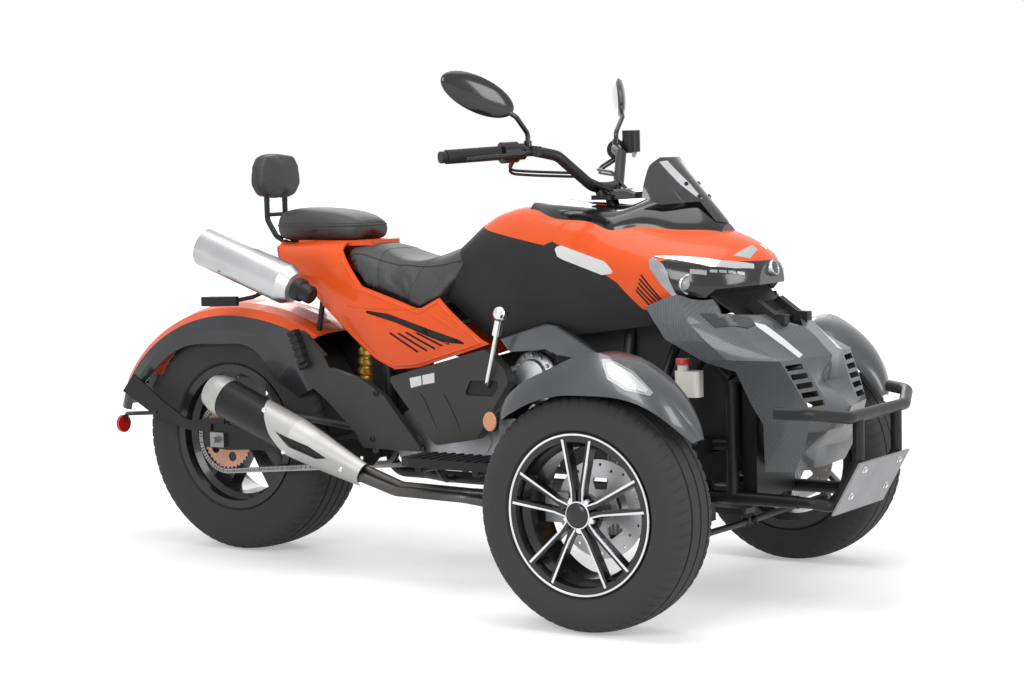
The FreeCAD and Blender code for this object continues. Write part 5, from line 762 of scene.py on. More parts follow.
@dataclass(frozen=True)
class TyreShape:
    """A tyre with its ribs, grooves, cross cuts and wall lines as one turned skin."""

    node: str
    body: Body
    centre: Vector
    radius: float
    width: float
    bead: float
    lip: float
    grooves: tuple[float, ...]
    cuts: int
    groove_depth: float = 6.0
    crown: float = 6.0
    shoulder: float = 24.0
    bead_inset: float = 17.3
    outer_row: float = 40.0
    outer_cut: tuple[float, float, float] = (1.4, 0.24, 3.6)
    inner_cut: tuple[float, float, float] = (-2.2, 0.15, 1.9)
    wall_line: tuple[float, float, float] = (16.0, 19.0, 0.9)
    points_per_cut: int = 6

    def profile(self) -> list[tuple[float, float]]:
        """The outer line from the left bead over the tread to the right bead, in millimetres."""
        half = self.width / 2
        bead_half, tread_half = half - self.bead_inset, half - self.shoulder
        belly = (self.lip + self.radius) / 2
        wall = [
            (bead_half, self.bead), (bead_half, self.lip + 1), (half - 6, self.lip + 8),
            (half - 1, belly - 14), (half, belly), (half - 2, self.radius - 36), (half - 7, self.radius - 23),
            (half - 14, self.radius - 13), (tread_half, self.radius - self.crown)]
        line = []
        for (y0, r0), (y1, r1) in zip(wall, wall[1:]):
            parts = max(1, int(math.hypot(y1 - y0, r1 - r0) / 5))
            line += [(y0 + (y1 - y0) * i / parts, r0 + (r1 - r0) * i / parts) for i in range(parts)]
        marks = {tread_half, -tread_half}
        for place in self.grooves:
            marks |= {place - 3.4, place - 2.6, place + 2.6, place + 3.4}
        steps = 12
        marks |= {tread_half * (2 * i / steps - 1) for i in range(steps + 1)
                  if all(abs(tread_half * (2 * i / steps - 1) - g) > 6 for g in self.grooves)}
        for y in sorted(marks, reverse=True):
            drop = self.crown * (abs(y) / tread_half) ** 2.4
            deep = self.groove_depth if any(abs(y - g) < 3 for g in self.grooves) else 0.0
            line.append((y, self.radius - 0.3 - drop - deep))
        mirror = [(-y, r) for y, r in reversed(line) if y > tread_half + 0.01]
        return line + mirror

    def cut_depth(self, y: float, r: float, turn: float) -> float:
        """Depth of the cross cuts at a place, in millimetres.

        Args:
            y: Place across the tyre.
            r: Distance from the axle.
            turn: Angle round the axle.

        Returns:
            The depth, from the slant, share and depth of the cuts in its row.
        """
        half = self.width / 2
        if r < self.radius - 27 or any(abs(y - g) < 4 for g in self.grooves):
            return 0.0
        slant, open_share, depth = self.outer_cut if abs(y) > half - self.outer_row else self.inner_cut
        share = (turn * self.cuts / (2 * math.pi) + (y / half) * slant) % 1.0
        return depth if share < open_share else 0.0

    def build(self) -> None:
        """Makes the tyre in place of its CAD node."""
        profile = self.profile()
        around = self.cuts * self.points_per_cut
        line_start, line_end, line_height = self.wall_line
        bm = bmesh.new()
        rows = []
        for y, r in profile:
            row = []
            for j in range(around):
                turn = 2 * math.pi * j / around
                line = line_height if line_start < r - self.lip < line_end else 0.0
                radius = (r - self.cut_depth(y, r, turn)) / 1000
                side = (y + math.copysign(line, y)) / 1000
                row.append(bm.verts.new(self.centre + Vector((
                    radius * math.sin(turn), side, radius * math.cos(turn)))))
            rows.append(row)
        join_rows(bm, rows, ring=True)
        item = piece(self.node + "_tread", bm, TYRE, self.body)
        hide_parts(self.node)


@dataclass(frozen=True)
class FrontWheelTrim:
    """The bright edges, lip, cap, nuts and valve of a front wheel, in millimetres from its centre."""

    side: int
    spokes: int = 5
    spoke_edge: Outline = ((12.6, 30), (15.8, 30), (17.8, 62), (40.6, 176), (34.4, 176), (13.4, 62))
    spoke_face: float = 79.2
    spoke_depth: float = 5.0
    rim_face: float = 77.0
    lip_profile: Outline = ((-9, 191.4), (-1, 192.6), (0.8, 191.2), (0.8, 187), (-1, 185.4), (-9, 184))
    cap_face: float = 75.0
    cap_profile: Outline = ((0, 29), (3, 29), (6, 26.5), (9, 20), (10.5, 10), (11, 0.5))
    cap_ring_profile: Outline = ((0, 33), (3.4, 33), (4.4, 31.6), (4.4, 30), (0, 29.2))
    nut_face: float = 66.0
    nut_circle: float = 36.0
    nut_profile: Outline = ((0, 9.4), (9, 9), (12, 6.4), (13.4, 2))
    valve_place: Point = (98, 70, -145)
    valve_axis: Point = (-0.3, 1, 0.45)
    valve_profile: Outline = ((-8, 4), (4, 4), (5, 3), (20, 3), (21, 4), (28, 3.6))

    def outward(self, spot: Point) -> Vector:
        """A vector whose Y points away from the vehicle, for this side."""
        return Vector((spot[0], self.side * spot[1], spot[2]))

    def centre(self) -> Vector:
        """The middle of the wheel."""
        return Vector((FRONT_X, self.side * TRACK / 2, FRONT_AXLE_Z))

    def ride(self, name: str, bm: bmesh.types.BMesh, finish: Finish) -> None:
        """Makes a piece that turns with this wheel."""
        body = FRONT_WHEEL[self.side]
        piece(body.value + name, bm, finish, body)

    def turned(self, name: str, place: Point, axis: Point, profile: Outline, steps: int,
               finish: Finish) -> None:
        """Makes a turned piece that turns with this wheel.

        Args:
            name: The end of its name.
            place: The start of its axis.
            axis: Its direction.
            profile: Its outline.
            steps: Its sides.
            finish: Its finish.
        """
        bm = bmesh.new()
        add_turned(bm, self.centre() + self.outward(place) / 1000, self.outward(axis), profile, steps)
        self.ride(name, bm, finish)

    def spoke_edges(self) -> None:
        """A flat bright bar along each edge of the twin spokes, proud of the wheel's face."""
        form = bmesh.new()
        for way in (-1, 1):
            rows = [[form.verts.new(self.outward((way * x, y, z)) / 1000) for x, z in self.spoke_edge]
                    for y in (self.spoke_face, self.spoke_face - self.spoke_depth)]
            join_rows(form, rows)
        body = FRONT_WHEEL[self.side]
        mesh = on_ring(form, self.spokes, self.centre(), MACHINED)
        placed(body.value + "_spoke_edges", mesh, MACHINED, body)

    def lug_nuts(self) -> None:
        """A nut in each gap between two twin spokes."""
        nut = bmesh.new()
        spot = self.outward((0, self.nut_face, self.nut_circle)) / 1000
        add_turned(nut, spot, self.outward((0, 1, 0)), self.nut_profile, 6)
        mesh = on_ring(nut, self.spokes, Vector(), CHROME)
        mesh.transform(Matrix.Translation(self.centre()) @ Matrix.Rotation(math.pi / self.spokes, 4, "Y"))
        body = FRONT_WHEEL[self.side]
        placed(body.value + "_lug_nuts", mesh, CHROME, body)

    def build(self) -> None:
        """Makes the trim of this wheel."""
        out = (0, 1, 0)
        cap = (0, self.cap_face, 0)
        self.spoke_edges()
        self.turned("_lip_ring", (0, self.rim_face, 0), out, self.lip_profile, 96, MACHINED)
        self.turned("_centre_cap", cap, out, self.cap_profile, 48, DARK_ALLOY)
        self.turned("_cap_ring", cap, out, self.cap_ring_profile, 48, MACHINED)
        self.lug_nuts()
        self.turned("_valve", self.valve_place, self.valve_axis, self.valve_profile, 14, GRAINED)


class Wheels:
    """The three tyres and the front wheels' trim."""

    def build(self) -> None:
        """Makes all of them."""
        for side in BOTH_SIDES:
            centre = Vector((FRONT_X, side * TRACK / 2, FRONT_AXLE_Z))
            TyreShape("front_tyre_" + HAND[side], FRONT_WHEEL[side], centre, radius=284, width=172,
                      bead=178, lip=193, grooves=(-38, 0, 38), cuts=64).build()
            FrontWheelTrim(side).build()
        TyreShape("rear_tyre", Body.REAR, Vector((REAR_X, 0, REAR_AXLE_Z)), radius=332, width=210, bead=192,
                  lip=208, grooves=(-50, -17, 17, 50), cuts=68).build()


@dataclass(frozen=True)
class Cushion:
    """A padded cover made from its CAD form by a short cloth run."""

    node: str
    name: str
    voxel: float
    cap: float
    frames: int = 20
    pressure: float = 2.0
    stiffness: float = 15.0

    def build(self) -> None:
        """Swells the form a little as stitched foam does, and takes the node's place."""
        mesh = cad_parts[self.node].data.copy()
        mesh.materials.clear()
        item = bpy.data.objects.new(self.name, mesh)
        bpy.context.scene.collection.objects.link(item)
        bpy.context.view_layer.objects.active = item
        remesh = item.modifiers.new("remesh", "REMESH")
        remesh.mode = "VOXEL"
        remesh.voxel_size = self.voxel
        base = bpy.data.meshes.new_from_object(item.evaluated_get(bpy.context.evaluated_depsgraph_get()))
        item.modifiers.clear()
        item.data = base
        for _ in range(2):
            bm = bmesh.new()
            bm.from_mesh(base)
            bmesh.ops.smooth_vert(
                bm, verts=bm.verts, factor=0.5, use_axis_x=True, use_axis_y=True, use_axis_z=True)
            bm.to_mesh(base)
            bm.free()
        rest = [v.co.copy() for v in base.vertices]
        self.simulate(item)
        final = item.data
        for vert, before in zip(final.vertices, rest):
            moved = vert.co - before
            if moved.length > self.cap:
                vert.co = before + moved.normalized() * self.cap
        smooth = item.modifiers.new("smooth", "SUBSURF")
        smooth.levels = 1
        made = bpy.data.meshes.new_from_object(item.evaluated_get(bpy.context.evaluated_depsgraph_get()))
        bpy.data.objects.remove(item)
        cover = placed(self.name, made, HIDE, Body.ROOT)
        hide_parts(self.node)

    def simulate(self, item: bpy.types.Object) -> None:
        """Runs the cloth with inner pressure and applies the result."""
        scene = bpy.context.scene
        scene.frame_start, scene.frame_end = 1, self.frames
        cloth = item.modifiers.new("cloth", "CLOTH")
        settings = cloth.settings
        settings.quality = 4
        settings.use_pressure = True
        settings.uniform_pressure_force = self.pressure
        settings.effector_weights.gravity = 0.0
        settings.tension_stiffness = settings.compression_stiffness = self.stiffness
        settings.shrink_min = 0.0
        cloth.point_cache.frame_end = self.frames
        for number in range(1, self.frames + 1):
            scene.frame_set(number)
        made = bpy.data.meshes.new_from_object(item.evaluated_get(bpy.context.evaluated_depsgraph_get()))
        item.modifiers.clear()
        scene.frame_set(1)
        item.data = made


@dataclass(frozen=True)
class Trim:
    """Patches of one finish that make one piece."""

    name: str
    finish: Finish
    slot: str
    patches: tuple[Patch, ...]
    sides: tuple[int, ...] = BOTH_SIDES
    body: Body = Body.ROOT

    def build(self) -> None:
        """Lays the patches on their panels."""
        bm = bmesh.new()
        for patch in self.patches:
            skin = Skin(*patch.nodes)
            for side in self.sides:
                patch.fill(bm, skin, side)
        piece(self.name, bm, self.finish, self.body)


@dataclass(frozen=True)
class Turned:
    """A turned form as measured on the right: its start from the front axle, axis and outline."""

    start: Point
    axis: Point
    profile: Outline
    steps: int = 28

    def fill(self, bm: bmesh.types.BMesh, side: int = -1) -> None:
        """Adds the form on one side."""
        place = at(fx(self.start[0]), -side * self.start[1], self.start[2])
        axis = Vector((self.axis[0], -side * self.axis[1], self.axis[2]))
        add_turned(bm, place, axis, self.profile, self.steps)

    def build(self, name: str, finish: Finish, slot: str, sides: tuple[int, ...] = (-1,),
              body: Body = Body.ROOT) -> None:
        """Makes a piece of the form.

        Args:
            name: The piece's name.
            finish: Its finish.
            slot: Not used.
            sides: -1 for the form as measured, 1 for its mirror image.
            body: The body that carries it.
        """
        bm = bmesh.new()
        for side in sides:
            self.fill(bm, side)
        piece(name, bm, finish, body)


@dataclass(frozen=True)
class PanelTrim:
    """Plates, stripes, labels and inlays on the panels, as measured on the right from the front axle."""

    badge_plate: Corners = (
        (-313, -192, 880), (-308, -191, 887), (-293, -191, 889), (-160, -209, 852), (-148, -212, 845),
        (-130, -216, 828), (-132, -217, 822), (-161, -216, 818), (-286, -201, 855), (-302, -198, 862))
    fin_starts: Corners = (
        (-47, -219, 820), (-51, -220, 810), (-54, -220, 800), (-59, -220, 790), (-62, -219, 782))
    fin_ends: Corners = (
        (34, -189, 722), (26, -192, 726), (10, -198, 731), (-7, -203, 736), (-25, -207, 740))
    fin_width: float = 4.6
    hash_starts: Corners = (
        (-854, -175, 653), (-826, -176, 653), (-799, -177, 656), (-772, -178, 659), (-745, -178, 661),
        (-717, -178, 662))
    hash_ends: Corners = (
        (-761, -178, 605), (-730, -179, 609), (-704, -179, 615), (-679, -179, 623), (-658, -180, 629),
        (-636, -180, 636))
    hash_width: float = 6.0
    vent_inlay: Corners = (
        (-790, -170, 716), (-744, -170, 716), (-622, -180, 654), (-646, -180, 650), (-700, -170, 664))
    labels: tuple[Corners, ...] = (
        ((-777, -196, 536), (-739, -196, 544), (-738, -196, 519), (-773, -196, 510)),
        ((-735, -196, 545), (-696, -196, 553), (-696, -196, 527), (-734, -196, 520)))
    nose_inlay: Corners = ((147, -106, 862), (156, -20, 882), (172, -23, 872), (176, -71, 853))
    fascia_stripe: Corners = (
        (218, -135, 702), (240, -119, 695), (329, -98, 623), (330, -120, 617), (226, -138, 693))
    fascia_step: Corners = (
        (104, -197, 726), (137, -182, 726), (205, -129, 714), (223, -138, 697), (214, -160, 690),
        (145, -198, 693))
    screen_band: Corners = (
        (-83, -59, 1094), (-72, -36, 1097), (-20, -23, 1043), (18, -21, 1001), (14, -30, 999),
        (-28, -46, 1036), (-61, -53, 1069))
    tail_facing: Point = (0.05, -0.97, 0.22)
    print_lift: float = 0.7

    def stripes(self, node: str, ends: Sequence[Corners], width: float, up: Point,
                facing: Point) -> tuple[Patch, ...]:
        """A row of printed stripes.

        Args:
            node: The panel below them.
            ends: All starts, and all ends.
            width: Their width.
            up: The way that the width is measured.
            facing: The way that the panel looks.

        Returns:
            A patch for each stripe.
        """
        return tuple(Patch((node,), strip(line, width, up), facing, self.print_lift) for line in zip(*ends))

    def build(self) -> None:
        """Lays all of them."""
        fins = self.stripes(
            "bonnet", (self.fin_starts, self.fin_ends), self.fin_width, (0.7, 0, 1), (0.04, -0.99, 0.14))
        hashes = self.stripes(
            "tail_panels", (self.hash_starts, self.hash_ends), self.hash_width, (1, 0, 1), self.tail_facing)
        badge = Patch(("side_covers", "bonnet"), self.badge_plate, (-0.11, -0.95, 0.3), 1.4)
        inlay = Patch(("inner_panels",), self.vent_inlay, self.tail_facing, 2.4)
        labels = tuple(Patch(("lower_covers",), corners, (0, -1, 0), 0.6) for corners in self.labels)
        nose = Patch(("bonnet",), self.nose_inlay, (0.58, -0.42, 0.7), 1.2)
        stripe = Patch(("fascia",), self.fascia_stripe, (0.49, -0.42, 0.77), 1.4)
        step = Patch(("fascia",), self.fascia_step, (0.4, -0.6, 0.7), 1.8)
        band = Patch(("windscreen",), self.screen_band, (0.71, -0.45, 0.5), 1.0)
        for name, finish, slot, patches in (
                ("badge_plates", PALE, "lamp_clear", (badge,)),
                ("fin_stripes", PRINT, "plastic_black", fins),
                ("tail_hash_lines", PRINT, "plastic_black", hashes),
                ("vent_inlays", DARK_GREY, "plastic_black", (inlay,)),
                ("cover_labels", PALE, "lamp_clear", labels),
                ("nose_inlays", SILVER, "muffler_bright", (nose,)),
                ("fascia_stripes", PALE, "lamp_clear", (stripe,)),
                ("fascia_steps", DARK_GREY, "plastic_black", (step,)),
                ("screen_bands", SILVER, "muffler_bright", (band,))):
            Trim(name, finish, slot, patches).build()


@dataclass(frozen=True)
class Lamps:
    """Lenses, bright strips, cells and projectors, as measured on the right from the front axle."""

    fender_lens: Corners = (
        (76, -615, 650), (93, -610, 652), (150, -599, 625), (200, -596, 577), (196, -605, 570),
        (143, -622, 581), (97, -625, 606))
    fender_core: Corners = (
        (90, -616, 640), (100, -611, 642), (146, -602, 619), (188, -599, 583), (187, -605, 576),
        (143, -618, 588), (102, -622, 613))
    brow: Corners = (
        (-21, -201, 865), (64, -177, 862), (130, -140, 852), (186, -70, 840), (189, -76, 829),
        (162, -122, 832), (117, -166, 838), (69, -186, 850), (10, -199, 859))
    corner: Corners = (
        (-21, -201, 863), (8, -205, 846), (24, -210, 826), (28, -214, 811), (46, -209, 771),
        (37, -212, 768), (9, -217, 796), (-24, -215, 835), (-31, -208, 856))
    cell_row: Corners = ((117, -172, 828), (180, -104, 818))
    cells: int = 4
    cell_height: float = 8.0
    low_cell: Corners = ((76, -193, 827), (112, -175, 823))
    low_cell_height: float = 13.0
    lens_facing: Point = (0.45, -0.75, 0.5)
    projector: Point = (66, -190, 797)
    projector_axis: Point = (0.75, -0.66, 0.0)
    ring_profile: Outline = ((0, 25), (13, 25), (15, 22), (11, 19))
    lens_profile: Outline = ((8, 19), (12, 17), (16, 11), (18, 4), (18.4, 0.5))

    def fender_lamp(self, side: int) -> None:
        """The lens of one front fender and its bright core."""
        body = KNUCKLE[side]
        name = "front_fender_" + HAND[side]
        lens = Patch((name,), self.fender_lens, self.lens_facing, 1.6)
        core = Patch((name,), self.fender_core, self.lens_facing, 2.3)
        Trim(name + "_lens", CLEAR, "lamp_clear", (lens,), (side,), body).build()
        Trim(name + "_lens_core", SILVER, "lamp_clear", (core,), (side,), body).build()

    def cell_patches(self) -> tuple[Patch, ...]:
        """The row of narrow cells under the brow, and the long one beside them."""
        first, last = (Vector(end) for end in self.cell_row)
        made = []
        for i in range(self.cells):
            line = (first.lerp(last, i / self.cells + 0.02), first.lerp(last, (i + 1) / self.cells - 0.03))
            corners = strip([tuple(end) for end in line], self.cell_height, (0, 0, 1))
            made.append(Patch(("headlamps",), corners, (0.6, -0.7, 0.4), 1.6))
        low = strip(self.low_cell, self.low_cell_height, (0, 0, 1))
        made.append(Patch(("headlamps",), low, (0.37, -0.83, 0.42), 1.4))
        return tuple(made)

    def build(self) -> None:
        """Makes the lamps' pieces."""
        for side in BOTH_SIDES:
            self.fender_lamp(side)
        brow = Patch(("headlamps", "bonnet"), self.brow, self.lens_facing, 1.6)
        corner = Patch(("headlamps", "bonnet", "fascia"), self.corner, (0.15, -0.96, 0.2), 1.4)
        Trim("lamp_strips", CHROME, "muffler_bright", (brow,)).build()
        Trim("lamp_corners", CLEAR, "lamp_clear", (corner,)).build()
        Trim("lamp_cells", CLEAR, "lamp_clear", self.cell_patches()).build()
        ring = Turned(self.projector, self.projector_axis, self.ring_profile)
        lens = Turned(self.projector, self.projector_axis, self.lens_profile)
        ring.build("projector_rings", SILVER, "muffler_bright", BOTH_SIDES)
        lens.build("projector_lenses", CLEAR, "lamp_clear", BOTH_SIDES)


@dataclass(frozen=True)
class BodyDetails:
    """The arch mouldings, the bare nose badge, the bottle's cap and the side reflectors."""

    moulding: Outline = (
        (-491, 647), (-355, 689), (-319, 685), (-196, 620), (-234, 601), (-309, 609), (-354, 623),
        (-461, 614))
    moulding_face: float = 190.0
    moulding_depth: float = 26.0
    moulding_bevel: float = 5.0
    badge_place: Point = (196, 0, 825)
    badge_axis: Point = (56, 0, 16)
    badge_ring: Outline = ((0, 20), (12, 20), (14.5, 18.5), (14.5, 16), (12.5, 15.4))
    badge_face: Outline = ((8, 15.6), (12.8, 15.4), (13.6, 8), (13.8, 0.5))
    cap_place: Point = (47, -184, 599)
    cap_profile: Outline = ((0, 17.6), (1, 19), (12, 18.4), (15.6, 16.6), (15.9, 5))
    reflector_place: Point = (-243, -598, 491)
    reflector_axis: Point = (-0.25, -1, 0.05)
    reflector_profile: Outline = ((0, 23), (7, 23), (9, 21), (10, 12), (10.4, 0.5))
    holder_profile: Outline = ((-3, 25), (5, 25), (5.6, 23.4), (4, 22))
    holder_stalk: Corners = ((-243, -597, 491), (-232, -590, 510), (-216, -580, 528))
    holder_radius: float = 5.0

    def mouldings(self) -> None:
        """A bevelled plate in each arch behind the front wheels."""
        bm = bmesh.new()
        outline = [Vector(corner) for corner in self.moulding]
        middle = sum(outline, Vector((0, 0))) / len(outline)
        face, inset = self.moulding_face, self.moulding_bevel
        for side in BOTH_SIDES:
            rings = []
            for y, shrink in ((face, inset), (face - inset, 0.0), (face - self.moulding_depth, 0.0)):
                spots = [corner - (corner - middle).normalized() * shrink for corner in outline]
                rings.append([bm.verts.new(at(fx(spot.x), side * y, spot.y)) for spot in spots])
            join_rows(bm, rings)
        piece("arch_mouldings", bm, MOULDING, Body.ROOT)

    def reflector(self, side: int) -> None:
        """The round reflector beside one front wheel, on its stalk."""
        body = KNUCKLE[side]
        glass = Turned(self.reflector_place, self.reflector_axis, self.reflector_profile, 36)
        glass.build("front_reflector_" + HAND[side], AMBER, "lamp_red", (side,), body)
        bm = bmesh.new()
        Turned(self.reflector_place, self.reflector_axis, self.holder_profile, 36).fill(bm, side)
        add_tube(bm, [at(fx(x), -side * y, z) for x, y, z in self.holder_stalk], self.holder_radius)
        piece("front_reflector_holder_" + HAND[side], bm, GRAINED, body)

    def build(self) -> None:
        """Makes all of them."""
        self.mouldings()
        Turned(self.badge_place, self.badge_axis, self.badge_ring, 40).build(
            "nose_badge_ring", SILVER, "muffler_bright")
        Turned(self.badge_place, self.badge_axis, self.badge_face, 40).build(
            "nose_badge", DARK_GREY, "mirror_black")
        Turned(self.cap_place, (0, 0, 1), self.cap_profile, 18).build("bottle_cap", RED_CAP, "lamp_red")
        for side in BOTH_SIDES:
            self.reflector(side)


@dataclass(frozen=True)
class MirrorGlass:
    """The curved glass on the rider's side of each mirror head, a cap of the head's ellipsoid."""

    centre: Point = (-436.5, -343, 1272.5)
    long_way: Point = (-0.522, -0.745, 0.415)
    thin_way: Point = (-0.819, 0.574, 0)
    half_length: float = 104.5
    half_width: float = 45.2
    bulge: float = 17.7
    share: float = 0.88
    rings: int = 6
    steps: int = 40

    def build(self) -> None:
        """Makes both glasses."""
        bm = bmesh.new()
        for side in BOTH_SIDES:
            centre = at(fx(self.centre[0]), -side * self.centre[1], self.centre[2])
            long_way, thin_way = (
                Vector((x, -side * y, z)).normalized() for x, y, z in (self.long_way, self.thin_way))
            wide_way = thin_way.cross(long_way)
            rows = []
            for ring in range(self.rings + 1):
                rho = self.share * (self.rings - ring) / self.rings
                lift = self.bulge * math.sqrt(1 - rho * rho)
                reach = max(rho, 0.01)
                row = []
                for j in range(self.steps):
                    turn = 2 * math.pi * j / self.steps
                    spot = (long_way * self.half_length * reach * math.cos(turn)
                            + wide_way * self.half_width * reach * math.sin(turn) + thin_way * lift)
                    row.append(bm.verts.new(centre + spot / 1000))
                rows.append(row)
            join_rows(bm, rows, caps=(-1,))
        piece("mirror_glass", bm, REFLECTOR, Body.STEERING)


@dataclass(frozen=True)
class Cockpit:
    """The control cables, the cover over the headstock and the stop button."""

    cable_route: Corners = (
        (-383.5, -262, 1118), (-430, -226, 1082), (-392, -150, 1076), (-306, -84, 1070), (-236, -34, 1024))
    cable_spread: Corners = ((0, 0, -1), (0, 0, -1), (0, -1, -1), (0, -1, -1), (0, -1, 0))
    cable_gap: float = 9.0
    cable_radius: float = 3.6
    cable_bend: float = 0.06
    cover_stations: tuple[tuple[float, float, float, float], ...] = (
        (-248, 34, 1004, 1026), (-196, 46, 1002, 1029), (-160, 50, 1003, 1020))
    cover_edge: tuple[float, float] = (8.0, 6.0)
    button_place: Point = (-405.5, -264, 1140)
    button_axis: Point = (-0.5, -0.1, 0.85)
    button_profile: Outline = ((0, 9.5), (6, 9.5), (8, 7.5), (8.4, 0.5))

    def cables(self) -> None:
        """Two cables on each side, led from the controls to the headstock."""
        bm = bmesh.new()
        for side in BOTH_SIDES:
            for gap in (0.0, self.cable_gap):
                corners = [Vector(corner) + Vector(spread) * gap
                           for corner, spread in zip(self.cable_route, self.cable_spread)]
                path = rounded_path([at(fx(p.x), -side * p.y, p.z) for p in corners], self.cable_bend, 8)
                add_tube(bm, path, self.cable_radius)
        piece("control_cables", bm, SATIN, Body.STEERING)

    def cover(self) -> None:
        """The cover, with its upper edges bevelled."""
        bm = bmesh.new()
        rows = []
        out, down = self.cover_edge
        for x, half, low, high in self.cover_stations:
            rows.append([bm.verts.new(at(fx(x), y, z)) for y, z in (
                (-half, low), (half, low), (half, high - down), (half - out, high), (out - half, high),
                (-half, high - down))])
        join_rows(bm, rows)
        piece("headstock_cover", bm, DARK_GREY, Body.STEERING)

    def build(self) -> None:
        """Makes the cables, the cover and the button."""
        self.cables()
        self.cover()
        Turned(self.button_place, self.button_axis, self.button_profile, 24).build(
            "stop_button", RED_CAP, "lamp_red", body=Body.STEERING)


def merge(name: str, meshes: Sequence[bpy.types.Mesh], finish: Finish) -> None:
    """One piece on the root from several plain meshes."""
    bm = bmesh.new()
    for mesh in meshes:
        bm.from_mesh(mesh)
    piece(name, bm, finish, Body.ROOT)


@dataclass(frozen=True)
class ExhaustRibs:
    """The close ribs of the two corrugated pipes; their routes start at the rear axle."""

    routes: tuple[Corners, ...] = (
        ((570.2, -222, 286), (690, -222, 248), (900, -218, 244), (1000, -164, 236)),
        ((565.5, -250, 274), (690, -250, 240), (900, -246, 236), (1010, -178, 208)))
    bend: float = 0.046
    inset: float = 0.016
    pitch: float = 0.0052
    rib: Outline = ((-1.5, 12.9), (-0.8, 14.1), (0.8, 14.1), (1.5, 12.9))

    def build(self) -> None:
        """Rings both pipes from just behind the muffler."""
        made = []
        for route in self.routes:
            corners = [at(rx(x), y, z) for x, y, z in route]
            way = (corners[1] - corners[0]).normalized()
            corners[0] = corners[0] + way * self.inset
            ring = bmesh.new()
            add_turned(ring, Vector(), Vector((0, 0, 1)), self.rib, 20)
            made.append(on_path(ring, rounded_path(corners, self.bend), self.pitch, PIPE))
        merge("exhaust_ribs", made, PIPE)


@dataclass(frozen=True)
class ChainLinks:
    """The rollers' and plates' round ends along the chain."""

    row: float = -0.121
    rear_radius: float = 0.0965
    front_radius: float = 0.0405
    front_place: float = 560.0
    pitch: float = 0.0168
    half_gap: float = 6.6
    half_plate: float = 4.2
    end_profile: Outline = ((-1, 6.6), (1, 6.6))

    def arc(self, centre: float, radius: float, start: float, steps: int) -> list[Vector]:
        """Half a turn round a sprocket.

        Args:
            centre: X of the sprocket.
            radius: Radius of the chain on it.
            start: Angle where the half turn starts.
            steps: Steps in it.

        Returns:
            The points.
        """
        turns = [start + math.pi * i / steps for i in range(steps + 1)]
        return [Vector((centre + radius * math.cos(turn), self.row, REAR_AXLE_Z + radius * math.sin(turn)))
                for turn in turns]

    def build(self) -> None:
        """Copies a link along the closed line round both sprockets."""
        path = self.arc(REAR_X, self.rear_radius, math.pi / 2, 40)
        path += self.arc(rx(self.front_place), self.front_radius, -math.pi / 2, 24)
        path.append(path[0])
        link = bmesh.new()
        for side in BOTH_SIDES:
            for place in (-self.half_plate, self.half_plate):
                start = Vector((side * self.half_gap, 0, place)) / 1000
                add_turned(link, start, Vector((1, 0, 0)), self.end_profile, 12)
        merge("chain_links", [on_path(link, path, self.pitch, ZINC)], ZINC)


@dataclass(frozen=True)
class Fasteners:
    """Heads of one kind at places on a panel, each with the way that it faces."""

    name: str
    node: str
    finish: Finish
    slot: str
    places: tuple[tuple[Point, Point], ...]
    sides: tuple[int, ...] = BOTH_SIDES
    lift: float = 0.0

    def build(self, head: bmesh.types.BMesh) -> None:
        """Presses a copy of the head onto the panel at each place."""
        skin = Skin(self.node)
        spots = []
        for (x, y, z), way in self.places:
            for side in self.sides:
                facing = Vector((way[0], -side * way[1], way[2])).normalized()
                spots.append((skin.press(at(fx(x), -side * y, z), facing, self.lift), facing))
        merge(self.name, [on_points(head, spots, self.finish)], self.finish)


@dataclass(frozen=True)
class FastenerSets:
    """Bolts, rivets and screws, with each one's place as measured on the right from the front axle."""

    cover_bolts: Corners = ((-899, -184, 489), (-915, -184, 365))
    canister_rivets: tuple[tuple[Point, Point], ...] = (
        ((-1361, -275, 819), (-0.19, -0.81, -0.55)), ((-1308, -271, 797), (-0.22, -0.74, -0.6)),
        ((-1256, -266, 777), (-0.22, -0.74, -0.6)), ((-1205, -262, 757), (-0.22, -0.74, -0.6)))
    shield_bolts: Corners = ((-1225, -290, 440), (-1142, -285, 330), (-955, -276, 291))
    skid_plate_bolts: Corners = ((489, -100, 354), (452, -100, 288))
    screen_bolts: Corners = ((-21, -32, 1038), (12, -26, 1005))

    def facing(self, places: Corners, way: Point) -> tuple[tuple[Point, Point], ...]:
        """Places that all face one way."""
        return tuple((place, way) for place in places)

    def build(self) -> None:
        """Makes a piece of each set."""
        covers = self.facing(self.cover_bolts, (0, -1, 0))
        shields = self.facing(self.shield_bolts, (0.1, -0.9, 0.1))
        plate = self.facing(self.skid_plate_bolts, (0.87, 0, -0.49))
        screen = self.facing(self.screen_bolts, (0.68, -0.4, 0.62))
        Fasteners("cover_bolts", "lower_covers", SATIN, "plastic_black", covers).build(dome_bolt(8.5))
        Fasteners("canister_rivets", "upper_canisters", ZINC, "muffler_bright", self.canister_rivets).build(
            dome_bolt(4.2))
        Fasteners("shield_bolts", "muffler_shields", CHROME, "muffler_bright", shields, (-1,)).build(
            dome_bolt(7))
        Fasteners("skid_plate_bolts", "skid_plate", CHROME, "muffler_bright", plate).build(hex_bolt(13))
        Fasteners("screen_bolts", "windscreen", SATIN, "plastic_black", screen, lift=0.001).build(
            dome_bolt(5.6))


